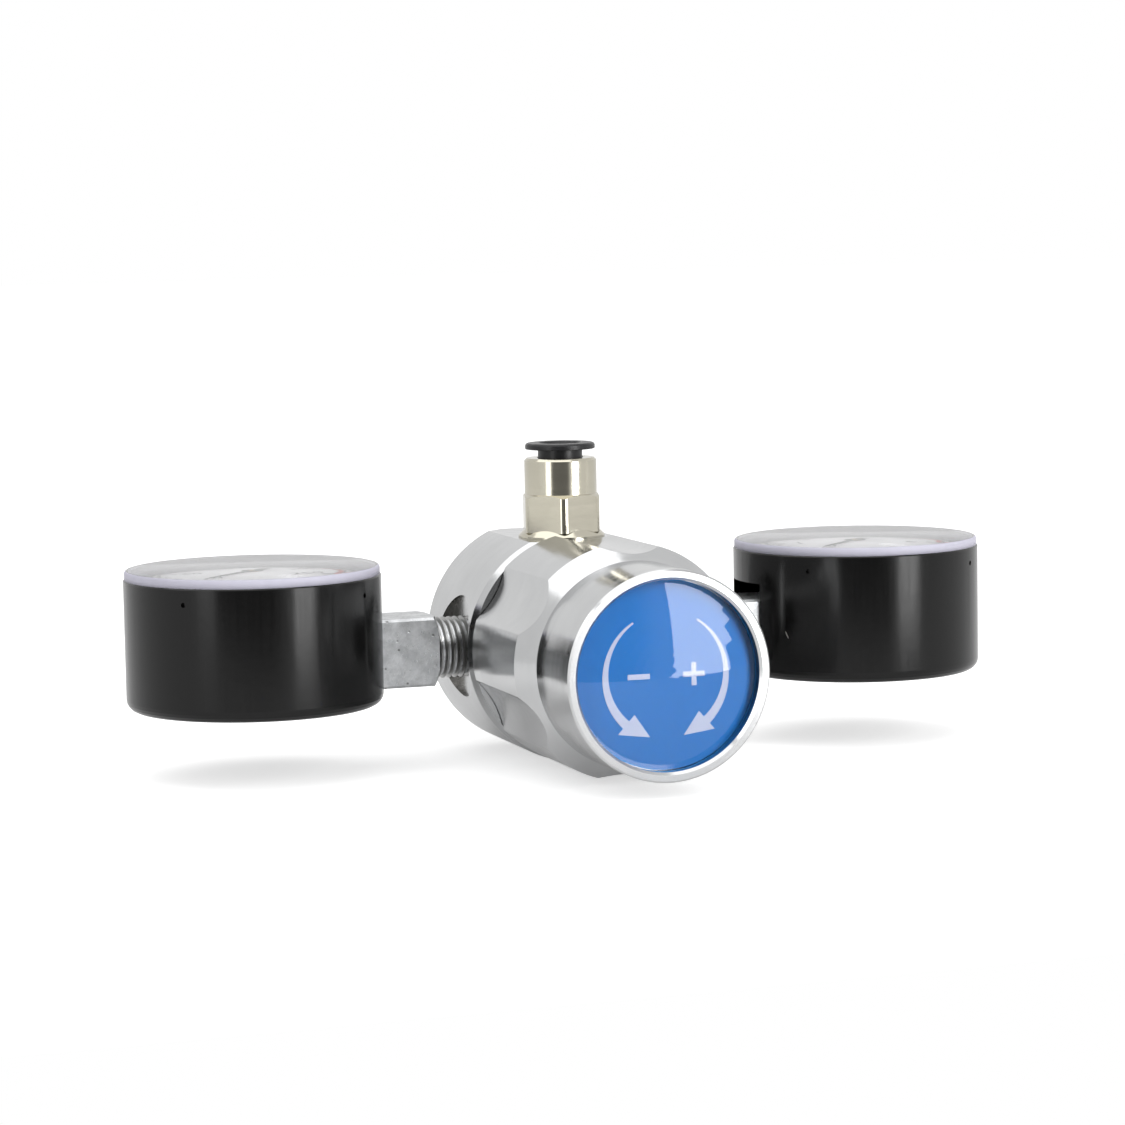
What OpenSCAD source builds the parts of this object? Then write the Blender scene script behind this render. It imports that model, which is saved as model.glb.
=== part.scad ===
// Two-gauge carbon dioxide regulator with a turning pressure knob and a push-in outlet.
// Millimetres, +Z up. The origin is the mouth of the inlet thread, on the body's axis.
// The knob points along -Y, the gauges stand on +X and -X, and the outlet points up.

/* [Body] */
// Diameter of the body's collar
body_d = 37.5; // [36.5:0.5:40]
// Length of the collar, from its rear face to the face behind the knob
body_len = 26.7; // [26:0.1:29]
// From the collar's front face back to the plane of the three ports
port_setback = 9.2; // [9:0.1:10]
// Chamfer on the collar's rear edge
rear_chamfer = 1; // [0.4:0.1:1.5]
// Radial size of the chamfer on the collar's front edge
front_chamfer = 0.7; // [0.3:0.1:1]
// Axial size of the chamfer on the collar's front edge
front_chamfer_len = 1.2; // [0.5:0.1:1.5]
// Shoulder from the collar's circle in to the nose, which carries the bonnet under the knob
shoulder = 4.75; // [4.6:0.05:5]
// Wall of the nose
nose_wall = 3; // [2.8:0.1:3.2]
// Length of the nose
nose_len = 9; // [8.6:0.1:10]
// Diameter of the spot faces round the three ports
spot_d = 16.4; // [15.4:0.1:16.6]
// Depth of the gauges' spot faces below the collar's circle
spot_depth = 2.35; // [2.2:0.05:2.5]
// Depth of the outlet's spot face below the collar's circle
outlet_spot_depth = 1.75; // [1.65:0.05:1.9]
// Tapping diameter of the two gauge ports
port_d = 9; // [8.9:0.05:9.1]
// Tapping diameter of the outlet port
outlet_port_d = 8.7; // [8.5:0.05:8.9]
// Depth of each tapped port below its spot face
port_depth = 8.3; // [8:0.1:8.6]

/* [Inlet] */
// How far the inlet socket stands out behind the body
inlet_out = 9; // [8:0.5:11]
// Outer diameter of the inlet socket
inlet_d = 21.5; // [20.5:0.5:22.5]
// Width across the two spanner flats of the inlet socket
inlet_flats = 19; // [18.5:0.5:20]
// Bore of the inlet thread, the minor diameter of 5/8-18 UNF
inlet_bore_d = 14.3; // [14.2:0.05:14.4]
// Length of the inlet thread
inlet_thread_len = 8.5; // [7:0.1:9]
// Depth of the inlet, from its mouth to the floor that the seal lies on
inlet_depth = 12; // [11.5:0.1:12.5]
// Diameter of the socket's own thread in the body
inlet_shank_d = 18; // [17.5:0.1:18.5]
// Length of the socket's own thread in the body
inlet_shank_len = 8.5; // [8:0.1:9]
// Diameter of the pocket that holds the filter and the pin
filter_d = 9; // [8:0.1:9.4]
// Thickness of the sintered filter
filter_t = 2; // [1.5:0.1:2.2]
// How far the piercing pin stands above the floor of the inlet
pin_len = 3; // [2.6:0.1:3.2]

/* [Valve] */
// Bore of the high pressure chamber
chamber_d = 9.2; // [9:0.1:9.6]
// From the plane of the ports to the valve seat, towards the knob
seat_offset = 1.5; // [1.2:0.1:1.8]
// Outer diameter of the seat insert
seat_d = 7; // [6.6:0.1:7.2]
// Thickness of the seat insert
seat_t = 2; // [1.8:0.1:2.2]
// Diameter of the hole through the seat
seat_hole_d = 2.6; // [2.4:0.1:2.8]
// Diameter of the poppet's head
poppet_d = 6.4; // [6:0.1:7]
// Diameter of the poppet's stem
stem_d = 1.8; // [1.6:0.1:2]
// Lift of the poppet, and so the piston's travel
valve_lift = 0.8; // [0.6:0.1:0.9]
// Length of the piston's skirt
piston_len = 6; // [5.6:0.1:6]
// Thickness of the O-ring's cord
oring_t = 1.9; // [1.7:0.1:2]

/* [Bonnet and spring] */
// Step from the nose in to the bonnet's tube
bonnet_step = 2.5; // [2:0.1:2.7]
// Wall of the bonnet's tube
bonnet_tube_wall = 2; // [1.8:0.1:2.2]
// Thickness of the bonnet's front wall
bonnet_wall = 2; // [1.8:0.1:2.4]
// Diameter of the adjusting screw
spindle_d = 7.9; // [7.6:0.1:8.1]
// Pitch of the adjusting screw
spindle_pitch = 1; // [0.8:0.05:1.25]
// Wire of the range spring
spring_wire = 1.6; // [1.2:0.1:1.8]
// Room round the range spring in the bonnet
spring_room = 2.1; // [1.6:0.1:2.4]
// Turns of the range spring
spring_turns = 5.5; // [4:0.5:6]
// Thickness of the spring carriage
carriage_t = 6; // [5:0.1:6.4]

/* [Knob] */
// How far the knob's lands stand in from the collar's circle
knob_step = 0.25; // [0.1:0.05:0.5]
// Length of the knob
knob_len = 40.7; // [40:0.1:42]
// Gap between the collar and the knob
knob_gap = 0.3; // [0.3:0.1:1]
// Room between the nose and the knob's skirt
knob_room = 1; // [0.7:0.1:1.2]
// Number of flutes round the knob
flute_count = 6; // [5:1:8]
// Depth of a flute below the lands
flute_depth = 1.5; // [1:0.1:1.7]
// Share of the pitch that a flute takes
flute_share = 0.5; // [0.4:0.05:0.6]
// Length of the fluted part
flute_len = 22; // [20:0.1:23]
// Length of the bevel in front of the lands
bevel_len = 3.7; // [3:0.1:4.5]
// Radial size of the bevel, from the lands to the plain barrel
bevel_step = 2.4; // [2:0.1:2.5]
// Angle of the first flute at rest, from +X
knob_phase = 28.5; // [0:0.5:60]
// Wall of the rim round the label
rim_wall = 1.6; // [1.4:0.1:2.1]
// Depth of the pocket for the label
label_depth = 3; // [2.6:0.1:3.2]
// Width across the spindle's square
square_w = 5; // [4.6:0.1:5.2]

/* [Outlet fitting] */
// Width across the fitting's hexagon
hex_w = 12; // [11.6:0.1:12.4]
// Height of the fitting above the spot face
fitting_h = 12.8; // [12.4:0.1:14]
// Height of the flange and hexagon above the spot face
hex_h = 7; // [6.6:0.1:7.6]
// Diameter of the fitting's barrel
sleeve_d = 11.7; // [11.4:0.1:11.9]
// Bore for the tube
tube_d = 6.2; // [6.1:0.05:6.3]
// Outer diameter of the release ring's neck
neck_d = 7.2; // [7.1:0.05:7.4]
// Diameter of the release ring's flange
ring_d = 11.3; // [10.8:0.1:11.8]
// Thickness of the release ring's flange
ring_t = 1; // [0.9:0.1:1.4]
// Gap below the release ring's flange at rest
ring_gap = 1.4; // [1.4:0.1:1.8]

/* [Gauges] */
// Outer diameter of a gauge case
case_d = 40.6; // [39:0.2:42]
// From the spot face to a gauge's axis
stem_reach = 35.1; // [34.4:0.1:36]
// Height of the case's rim above the ports' plane
case_top = 13.1; // [12.8:0.1:14]
// Depth of the case's back below the ports' plane
case_drop = 7.6; // [7.2:0.1:9]
// Wall of a gauge case
case_wall = 1; // [0.8:0.1:1.2]
// Rounding of the case's lower edge
case_round = 1.8; // [1.2:0.1:2.2]
// Width of the square stem
stem_w = 11; // [10.6:0.1:11.2]
// Gap over the stem in the case's notch
notch_gap = 2.5; // [2:0.1:2.6]
// Length of the bare thread between the stem and the spot face
thread_len = 6.2; // [5.5:0.1:6.8]
// Root diameter of the stem's thread
thread_d = 8.9; // [8.8:0.05:9.2]
// Thickness of the lens above the rim
lens_t = 1.45; // [1.2:0.05:1.8]
// Height of the dial above the ports' plane
dial_z = 8.9; // [8.8:0.1:9.2]
// Teeth on the pointer's pinion
pinion_teeth = 10; // [10:2:12]
// Teeth on the full circle of the toothed sector
sector_teeth = 75; // [75:5:80]
// Module of the gear teeth
gear_module = 0.3; // [0.29:0.005:0.3]
// From the case's inner wall in to the middle of the bourdon tube
tube_room = 4.8; // [4.4:0.1:5.2]
// Sweep of the pointer over the dial, degrees
pointer_sweep = 270; // [240:5:280]

/* [Hidden] */
$fn = 64;

// Named clearances
eps = 0.01;
fit_gap = 0.05;
slide_gap = 0.1;
part_gap = 0.3;
edge = 0.4;

// Lengths that set the stations under the label
screw_head_t = 1.8;
screw_gap = 0.5;
square_len = 2.6;

// Room behind the socket, and metal between a port and the piston's bore
socket_gap = 0.5;
port_web = 1.5;

// Diameters that follow from one another
nose_d = body_d - 2 * shoulder;
piston_bore_d = nose_d - 2 * nose_wall;
bonnet_thread_d = nose_d - nose_wall;
bonnet_d = nose_d - 2 * bonnet_step;
bonnet_bore_d = bonnet_d - 2 * bonnet_tube_wall;
spring_d = bonnet_bore_d - 2 * spring_room - spring_wire;
knob_d = body_d - 2 * knob_step;
knob_bore_d = nose_d + 2 * knob_room;
barrel_d = knob_d - 2 * bevel_step;
label_d = barrel_d - 2 * rim_wall;
spot_floor = body_d / 2 - spot_depth;
outlet_floor = body_d / 2 - outlet_spot_depth;

// Stations along the axis, measured forward from the inlet's mouth
s_rear = inlet_out;
s_front = s_rear + body_len;
s_port = s_front - port_setback;
s_nose = s_front + nose_len;
s_inlet_floor = inlet_depth;
s_socket_end = s_rear + inlet_shank_len;
s_chamber = s_socket_end + socket_gap;
s_seat = s_port + seat_offset;
s_seat_end = s_seat + seat_t;
s_piston_floor = s_port + port_d / 2 + port_web;
s_piston = s_piston_floor + valve_lift + 2 * slide_gap;
s_piston_end = s_piston + piston_len;
s_bonnet = s_piston_end + part_gap;
s_knob = s_front + knob_gap;
s_knob_end = s_knob + knob_len;
s_land_end = s_knob + flute_len;
s_bevel_end = s_land_end + bevel_len;
s_label = s_knob_end - label_depth;
s_square_end = s_label - screw_gap - screw_head_t;
s_hub = s_square_end - square_len;
s_bonnet_end = s_hub - part_gap;
s_bonnet_wall = s_bonnet_end - bonnet_wall;

// Inlet
inlet_relief = 0.3;
seal_t = 1.5;
seal_w = 2.2;
pin_d = 2.6;
pin_nose_d = 1;
pin_taper = 1.4;
pin_bore_d = 0.8;
pin_hub_d = 4.8;
pin_hub_t = 1.2;
pin_flange_t = 1;
s_filter = s_inlet_floor + pin_flange_t + slide_gap;
s_filter_end = s_filter + filter_t;

// Passages in the body
low_drill_d = 1.8;
high_drill_d = 3;
stem_passage_d = stem_d + 1.4;

// Valve
seat_lip = 0.5;
seat_lip_w = 0.5;
poppet_face = s_seat - seat_lip - fit_gap;
poppet_head_t = 3.1;
poppet_boss_d = 3;
poppet_boss_len = 2;
poppet_wire = 0.5;
poppet_spring_d = poppet_boss_d + 1.4;
poppet_turns = 5;

// Piston and its O-ring
oring_groove = s_piston + 2;
oring_pad = 0.25;
boss_room = 0.8;
piston_boss_d = spring_d - spring_wire - 2 * boss_room;
piston_boss_len = 3;

// Bonnet, washer, spindle and carriage
bonnet_flange_t = 1.8;
key_w = 3;
key_depth = 0.8;
vent_d = 2.4;
vent_r = (bonnet_bore_d + spindle_d) / 4;
washer_t = 1;
flange_t = 1.5;
flange_room = 2.5;
spindle_flange_d = bonnet_bore_d - 2 * flange_room;
spindle_room = 3.5;
spindle_point = 0.8;
s_washer = s_bonnet_wall - slide_gap - washer_t;
s_flange = s_washer - flange_t;
s_carriage_end = s_flange - part_gap - slide_gap;
s_carriage = s_carriage_end - carriage_t;
s_spindle = s_piston_end + piston_boss_len + spindle_room;
screw_d = 3.9;
screw_head_d = 9.2;
screw_len = 9;
screw_web = 0.5;
screw_socket_d = 2.9;

// Knob and label
knob_edge = 0.3;
rim_chamfer = 0.4;
hub_d = 15;
label_t = 0.6;
dome_edge = 0.5;
dome_crown = 2.4;

// Fitting
flange_d = 14;
flange_rim = 0.3;
flange_h = 1;
fitting_z = outlet_floor;
shank_len = port_depth - 1;
cavity_d = 9.2;
lip_t = 1.2;
barb_t = 1.9;
barb_d = neck_d + 1;
ring_round = 0.5;
hex_turn = 16;
hex_round = 1.2;
hex_chamfer = 0.7;
shank_lead = 0.8;
fitting_top = fitting_z + fitting_h;
ring_z = fitting_top + ring_gap;
barb_top = fitting_top - lip_t - part_gap;
barb_bottom = barb_top - barb_t;
cavity_rise = 6;
tube_seat = 2.5;
cavity_floor = fitting_z + cavity_rise;
tube_stop = cavity_floor - tube_seat;
grab_t = 0.35;
finger_slot = 0.6;
tube_oring_t = 1.5;
passage_d = 4;

// Gauge
rim_r = case_d / 2;
inner_r = rim_r - case_wall;
bourdon_r = inner_r - tube_room;
gauge_x = spot_floor + stem_reach;
stem_inner = 7;
stem_end = stem_reach - thread_len;
stem_top = stem_w / 2;
stem_edge = 0.4;
stem_bevel = 0.66;
stem_bevel_slope = 0.6;
gas_bore_d = 2.4;
tube_feed_d = 1.6;
dimple_d = 0.8;
dimple_depth = 0.5;
dimple_z = case_top - 2.5;
rim_edge = 0.2;
lens_edge = 0.5;
lens_skirt = 2;
pinion_r = gear_module * pinion_teeth / 2;
sector_r = gear_module * sector_teeth / 2;
sector_axis = pinion_r + sector_r;
addendum = 0.8 * gear_module;
dedendum = 1.15 * gear_module;
tooth_root_share = 0.6;
tooth_mid_share = 0.38;
tooth_tip_share = 0.14;
spare_swing = 4;
sector_rim = 1.4;
sector_window_r = 3;
sector_swing = pointer_sweep * pinion_teeth / sector_teeth;
sector_bearing = 200;
tail_r = 3.2;
tail_turn = 150;
plate_low = stem_top;
plate_t = 0.6;
plate_high = 8;
sector_z = plate_low + plate_t + part_gap;
sector_t = 0.7;
link_z = sector_z + sector_t + 0.2;
link_t = 0.5;
arbor_d = 1.2;
dial_t = 0.4;
dial_gap = 0.5;
pointer_z = dial_z + 1.4;
pointer_t = 0.4;
pointer_rest = 225;
tip_angle = 235;
tube_h = 7;
tube_w = 1.8;
tube_skin = 0.35;
tip_wall = 4;
lug_w = 1.9;
plate_pad_r = 2.2;
plate_arm_w = 3.4;
plate_tab = [14, 5];
pillar_d = 1.8;
pillar_x = [5, 8];
dial_post_d = 1.2;
sector_arbor_d = 1.8;
pivot_d = 1;
hub_r = 1.5;
tail_w = 1.2;
tail_pad_d = 1.6;
link_pin_d = 0.7;
link_pad_d = 1.8;
pointer_tail = 5;
pointer_short = 4.5;
pointer_w = 1.3;
pointer_hub_d = 4;

// Where the link's two ends lie at rest, seen from above in the gauge's own frame
sector_pivot = sector_axis * [cos(sector_bearing), sin(sector_bearing)];
tail_angle = sector_bearing + 180 + tail_turn;
link_foot = sector_pivot + tail_r * [cos(tail_angle), sin(tail_angle)];
link_head = bourdon_r * [cos(tip_angle), sin(tip_angle)];

steel = "#b9bcbc";
satin = "#a9acac";
nickel = "#c9c3b4";
zinc = "#b4b8bc";
brass = "#b8934a";
black = "#1b1b1c";
white = "#eceff1";
clear = "#dfe6ea80";
blue = "#0868ce";
rubber = "#222222";

// ---------------------------------------------------------------- shared shapes

// Turns a shape built along +Z so that it runs forward along the axis from the inlet's mouth.
module axial() rotate([90, 0, 0]) children();

// A straight round bar along the axis between two stations.
module bar(d, from, to) axial() translate([0, 0, from]) cylinder(d = d, h = to - from);

// A revolved profile of [radius, station] points.
module turned(points) axial() rotate_extrude() polygon(points);

// Points along an arc, for rounded profiles.
function arc(centre, r, from, to, steps = 5) =
    [for (i = [0:steps]) let (a = from + (to - from) * i / steps)
        centre + r * [cos(a), sin(a)]];

// Corners of a hexagon of a width across its flats, each rounded in a few steps.
function hex_ring(width, r, steps) =
    [for (k = [0:5], i = [0:steps]) let (corner = 60 * k, a = corner - 30 + 60 * i / steps)
        (width / 2 - r) / cos(30) * [cos(corner), sin(corner)] + r * [cos(a), sin(a)]];

// Height of a coil spring's wire at a turn: one closed turn at each end, even pitch between.
function coil_rise(turn, turns, wire, length) =
    let (closed = wire * 1.06, open = (length - wire - 2 * closed) / (turns - 2))
    turn < 1 ? turn * closed
    : turn > turns - 1 ? length - wire - (turns - turn) * closed
    : closed + (turn - 1) * open;

// A coil spring along +Z from z = 0.
module coil(d, wire, turns, length, steps = 20, sides = 8) {
    last = steps * turns;
    points = [for (i = [0:last], j = [0:sides - 1])
        let (a = 360 * i / steps, b = 360 * j / sides, r = d / 2 + wire / 2 * cos(b))
        [r * cos(a), r * sin(a),
            wire / 2 + coil_rise(i / steps, turns, wire, length) + wire / 2 * sin(b)]];
    skin = [for (i = [0:last - 1], j = [0:sides - 1])
        let (k = (j + 1) % sides)
        [i * sides + j, i * sides + k, (i + 1) * sides + k, (i + 1) * sides + j]];
    start = [[for (j = [sides - 1:-1:0]) j]];
    end = [[for (j = [0:sides - 1]) last * sides + j]];
    polyhedron(points, concat(start, skin, end), convexity = 10);
}

// A round ring of cord about the Z axis.
module cord_ring(d, t) rotate_extrude() translate([d / 2, 0]) circle(d = t, $fn = 32);

// Places a shape at a port: 0 is the right gauge, 90 the outlet, 180 the left gauge.
module at_port(angle) translate([0, -s_port, 0]) rotate([0, -angle, 0]) children();

// ---------------------------------------------------------------- body and inlet

// A spot face at a height above the axis, and its tapping hole.
module port_cut(floor, hole_d) {
    rotate([0, 90, 0]) {
        translate([0, 0, floor]) cylinder(d = spot_d, h = body_d);
        translate([0, 0, floor - port_depth]) cylinder(d = hole_d, h = body_d);
    }
}

// Drilling from the low pressure chamber into a port.
module link_drilling() {
    r = (piston_bore_d - low_drill_d) / 2 - part_gap;
    translate([r, 0, 0]) rotate([90, 0, 0])
        cylinder(d = low_drill_d, h = s_piston_floor - s_port + 1);
}

module regulator_body() color(steel) difference() {
    r = body_d / 2;
    turned([
        [0, s_rear], [r - rear_chamfer, s_rear], [r, s_rear + rear_chamfer],
        [r, s_front - front_chamfer_len], [r - front_chamfer, s_front],
        [nose_d / 2, s_front], [nose_d / 2, s_nose], [0, s_nose]
    ]);
    bar(inlet_shank_d, s_rear - 1, s_chamber);
    bar(chamber_d, s_chamber - 1, s_seat);
    bar(seat_d, s_seat - 1, s_seat_end);
    bar(stem_passage_d, s_seat_end - 1, s_piston_floor + 1);
    bar(piston_bore_d, s_piston_floor, s_nose + 1);
    bar(bonnet_thread_d, s_bonnet, s_nose + 1);
    for (angle = [0, 180]) at_port(angle) port_cut(spot_floor, port_d);
    at_port(90) port_cut(outlet_floor, outlet_port_d);
    for (angle = [0, 90]) at_port(angle) link_drilling();
    at_port(180) rotate([0, 90, 0]) cylinder(d = high_drill_d, h = spot_floor);
}

module inlet_socket() color(steel) difference() {
    shank_r = inlet_shank_d / 2 - fit_gap;
    intersection() {
        turned([
            [0, 0], [inlet_d / 2 - 0.8, 0], [inlet_d / 2, 0.8],
            [inlet_d / 2, s_rear], [shank_r, s_rear], [shank_r, s_socket_end], [0, s_socket_end]
        ]);
        translate([-inlet_flats / 2, -s_socket_end - 1, -inlet_d])
            cube([inlet_flats, s_socket_end + 2, 2 * inlet_d]);
    }
    bar(inlet_bore_d, -1, s_inlet_floor);
    bar(inlet_bore_d + 2 * inlet_relief, inlet_thread_len, s_inlet_floor);
    bar(filter_d, 0, s_filter_end);
    bar(passage_d, 0, s_socket_end + 1);
}

module inlet_seal() color(rubber) {
    outer = inlet_bore_d / 2 - part_gap;
    inner = inlet_bore_d / 2 - seal_w;
    turned([
        [inner, s_inlet_floor - seal_t], [outer, s_inlet_floor - seal_t],
        [outer, s_inlet_floor], [inner, s_inlet_floor]
    ]);
}

module piercing_pin() color(steel) difference() {
    pin_base = s_inlet_floor + pin_flange_t;
    pin_tip = s_inlet_floor - pin_len;
    hub = s_inlet_floor - pin_hub_t;
    turned([
        [0, pin_tip], [pin_nose_d / 2, pin_tip], [pin_d / 2, pin_tip + pin_taper], [pin_d / 2, hub],
        [pin_hub_d / 2, hub], [pin_hub_d / 2, s_inlet_floor],
        [filter_d / 2 - fit_gap, s_inlet_floor], [filter_d / 2 - fit_gap, pin_base], [0, pin_base]
    ]);
    bar(pin_bore_d, pin_tip - 1, pin_base + 1);
}

module inlet_filter() color(brass)
    bar(filter_d - 2 * fit_gap, s_filter, s_filter_end);

// ---------------------------------------------------------------- valve and piston

module valve_seat() color(white) {
    r = seat_d / 2 - fit_gap;
    hole = seat_hole_d / 2;
    turned([
        [hole, s_seat - seat_lip], [hole + seat_lip_w, s_seat - seat_lip],
        [hole + seat_lip_w + 0.4, s_seat],
        [r, s_seat], [r, s_seat_end], [hole, s_seat_end]
    ]);
}

module poppet() color(brass) {
    head = poppet_face - poppet_head_t;
    boss = head - poppet_boss_len;
    turned([
        [0, boss], [poppet_boss_d / 2 - edge, boss], [poppet_boss_d / 2, boss + edge],
        [poppet_boss_d / 2, head], [poppet_d / 2, head], [poppet_d / 2, poppet_face - edge],
        [poppet_d / 2 - edge, poppet_face], [stem_d / 2, poppet_face],
        [stem_d / 2, s_piston - fit_gap], [0, s_piston - fit_gap]
    ]);
}

module poppet_spring() color(satin) {
    length = poppet_face - poppet_head_t - s_socket_end - 2 * fit_gap;
    axial() translate([0, 0, s_socket_end + fit_gap])
        coil(poppet_spring_d, poppet_wire, poppet_turns, length, 16, 6);
}

module piston() color(brass) difference() {
    r = piston_bore_d / 2 - fit_gap;
    turned([
        [0, s_piston], [r - edge, s_piston], [r, s_piston + edge],
        [r, s_piston_end], [piston_boss_d / 2, s_piston_end],
        [piston_boss_d / 2, s_piston_end + piston_boss_len - edge],
        [piston_boss_d / 2 - edge, s_piston_end + piston_boss_len],
        [0, s_piston_end + piston_boss_len]
    ]);
    axial() translate([0, 0, oring_groove]) difference() {
        cylinder(r = r + 1, h = oring_t + oring_pad);
        translate([0, 0, -1]) cylinder(r = r - oring_t, h = oring_t + oring_pad + 2);
    }
}

module piston_oring() color(rubber)
    axial() translate([0, 0, oring_groove + (oring_t + oring_pad) / 2])
        cord_ring(piston_bore_d - oring_t - fit_gap, oring_t - fit_gap);

// ---------------------------------------------------------------- bonnet and adjusting gear

module bonnet() color(zinc) difference() {
    thread_r = bonnet_thread_d / 2 - fit_gap;
    s_flange_end = s_nose + bonnet_flange_t;
    turned([
        [0, s_bonnet], [thread_r, s_bonnet], [thread_r, s_nose], [nose_d / 2, s_nose],
        [nose_d / 2, s_flange_end], [bonnet_d / 2, s_flange_end],
        [bonnet_d / 2, s_bonnet_end - 1], [bonnet_d / 2 - 1, s_bonnet_end], [0, s_bonnet_end]
    ]);
    bar(bonnet_bore_d, s_bonnet - 1, s_bonnet_wall);
    bar(spindle_d + 2 * fit_gap, s_bonnet_wall - 1, s_bonnet_end + 1);
    axial() for (side = [0, 180]) rotate(side)
        translate([0, -key_w / 2, s_nose]) cube([bonnet_bore_d / 2 + key_depth, key_w,
            s_bonnet_wall - s_nose]);
}

module range_spring() color(satin) axial() translate([0, 0, s_piston_end + fit_gap])
    coil(spring_d, spring_wire, spring_turns, s_carriage - s_piston_end - 2 * fit_gap);

module spring_carriage() color(brass) {
    r = bonnet_bore_d / 2 - slide_gap;
    axial() translate([0, 0, s_carriage]) difference() {
        union() {
            cylinder(r = r, h = carriage_t);
            for (side = [0, 180]) rotate(side)
                translate([0, slide_gap - key_w / 2, 1])
                    cube([bonnet_bore_d / 2 + key_depth - slide_gap, key_w - 2 * slide_gap,
                        carriage_t - 2]);
        }
        translate([0, 0, -1]) cylinder(d = spindle_d + 2 * fit_gap, h = carriage_t + 2);
        for (turn = [45:90:315]) rotate(turn)
            translate([vent_r, 0, -1]) cylinder(d = vent_d, h = carriage_t + 2);
    }
}

// Adjusting screw, with a relief one pitch wide where its thread runs out at the flange.
module spindle() color(steel) difference() {
    r = spindle_d / 2;
    relief = spindle_pitch;
    union() {
        turned([
            [0, s_spindle], [r - spindle_point, s_spindle], [r, s_spindle + spindle_point],
            [r, s_flange - relief], [r - relief / 2, s_flange - relief], [r - relief / 2, s_flange],
            [spindle_flange_d / 2, s_flange], [spindle_flange_d / 2, s_washer], [r, s_washer],
            [r, s_hub], [0, s_hub]
        ]);
        axial() translate([-square_w / 2, -square_w / 2, s_hub - 1])
            cube([square_w, square_w, square_len + 1 - slide_gap]);
    }
    bar(screw_d + 2 * fit_gap, s_square_end - screw_len - 0.5, s_square_end + 1);
}

module thrust_washer() color(brass) {
    outer = bonnet_bore_d / 2 - edge;
    inner = spindle_d / 2 + part_gap;
    turned([
        [inner, s_washer + fit_gap], [outer, s_washer + fit_gap],
        [outer, s_bonnet_wall], [inner, s_bonnet_wall]
    ]);
}

// ---------------------------------------------------------------- knob

// One flute: a round cutter that leaves the given depth and opening on the lands' circle.
module flute_cutter() {
    half = 180 / flute_count * flute_share;
    land_r = knob_d / 2;
    floor_r = land_r - flute_depth;
    chord = land_r * sin(half);
    drop = land_r * cos(half) - floor_r;
    cutter_r = (chord * chord + drop * drop) / (2 * drop);
    translate([floor_r + cutter_r, 0, s_knob - 1]) cylinder(r = cutter_r, h = knob_len, $fn = 128);
}

module knob_shell() color(satin) difference() {
    land_r = knob_d / 2;
    barrel_r = barrel_d / 2;
    turned([
        [0, s_knob], [land_r - knob_edge, s_knob], [land_r, s_knob + knob_edge],
        [land_r, s_land_end], [barrel_r, s_bevel_end], [barrel_r, s_knob_end - knob_edge],
        [barrel_r - knob_edge, s_knob_end], [0, s_knob_end]
    ]);
    axial() for (i = [0:flute_count - 1]) rotate(knob_phase + i * 360 / flute_count) flute_cutter();
    axial() difference() {
        translate([0, 0, s_knob - 1]) cylinder(d = knob_bore_d, h = s_hub + 0.5 - s_knob + 1);
        translate([0, 0, s_hub]) cylinder(d = hub_d, h = label_depth);
    }
    axial() translate([-square_w / 2 - fit_gap, -square_w / 2 - fit_gap, s_hub - 1])
        cube([square_w + 2 * fit_gap, square_w + 2 * fit_gap, knob_len]);
    bar(screw_head_d + 2 * part_gap, s_square_end, s_knob_end);
    turned([
        [0, s_label], [label_d / 2, s_label], [label_d / 2, s_knob_end - rim_chamfer],
        [label_d / 2 + rim_chamfer + slide_gap, s_knob_end + slide_gap], [0, s_knob_end + slide_gap]
    ]);
}

module knob_screw() color(zinc) difference() {
    r = screw_d / 2;
    head_r = screw_head_d / 2;
    turned([
        [0, s_square_end - screw_len], [r - edge, s_square_end - screw_len],
        [r, s_square_end - screw_len + edge], [r, s_square_end], [head_r, s_square_end],
        [head_r, s_square_end + screw_head_t - edge], [head_r - edge, s_square_end + screw_head_t],
        [0, s_square_end + screw_head_t]
    ]);
    axial() translate([0, 0, s_square_end + screw_web])
        cylinder(d = screw_socket_d, h = screw_head_t, $fn = 6);
}

module label_disc() color(blue) bar(label_d - 2 * slide_gap, s_label, s_label + label_t);

module label_dome() color(clear) {
    r = label_d / 2 - 2 * slide_gap;
    back = s_label + label_t;
    rise = dome_crown - dome_edge;
    big_r = (r * r + rise * rise) / (2 * rise);
    half = asin(r / big_r);
    turned(concat([[0, back], [r, back]],
        arc([0, back + dome_crown - big_r], big_r, 90 - half, 90, 10)));
}

// ---------------------------------------------------------------- outlet fitting

module on_outlet() translate([0, -s_port, 0]) children();

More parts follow.
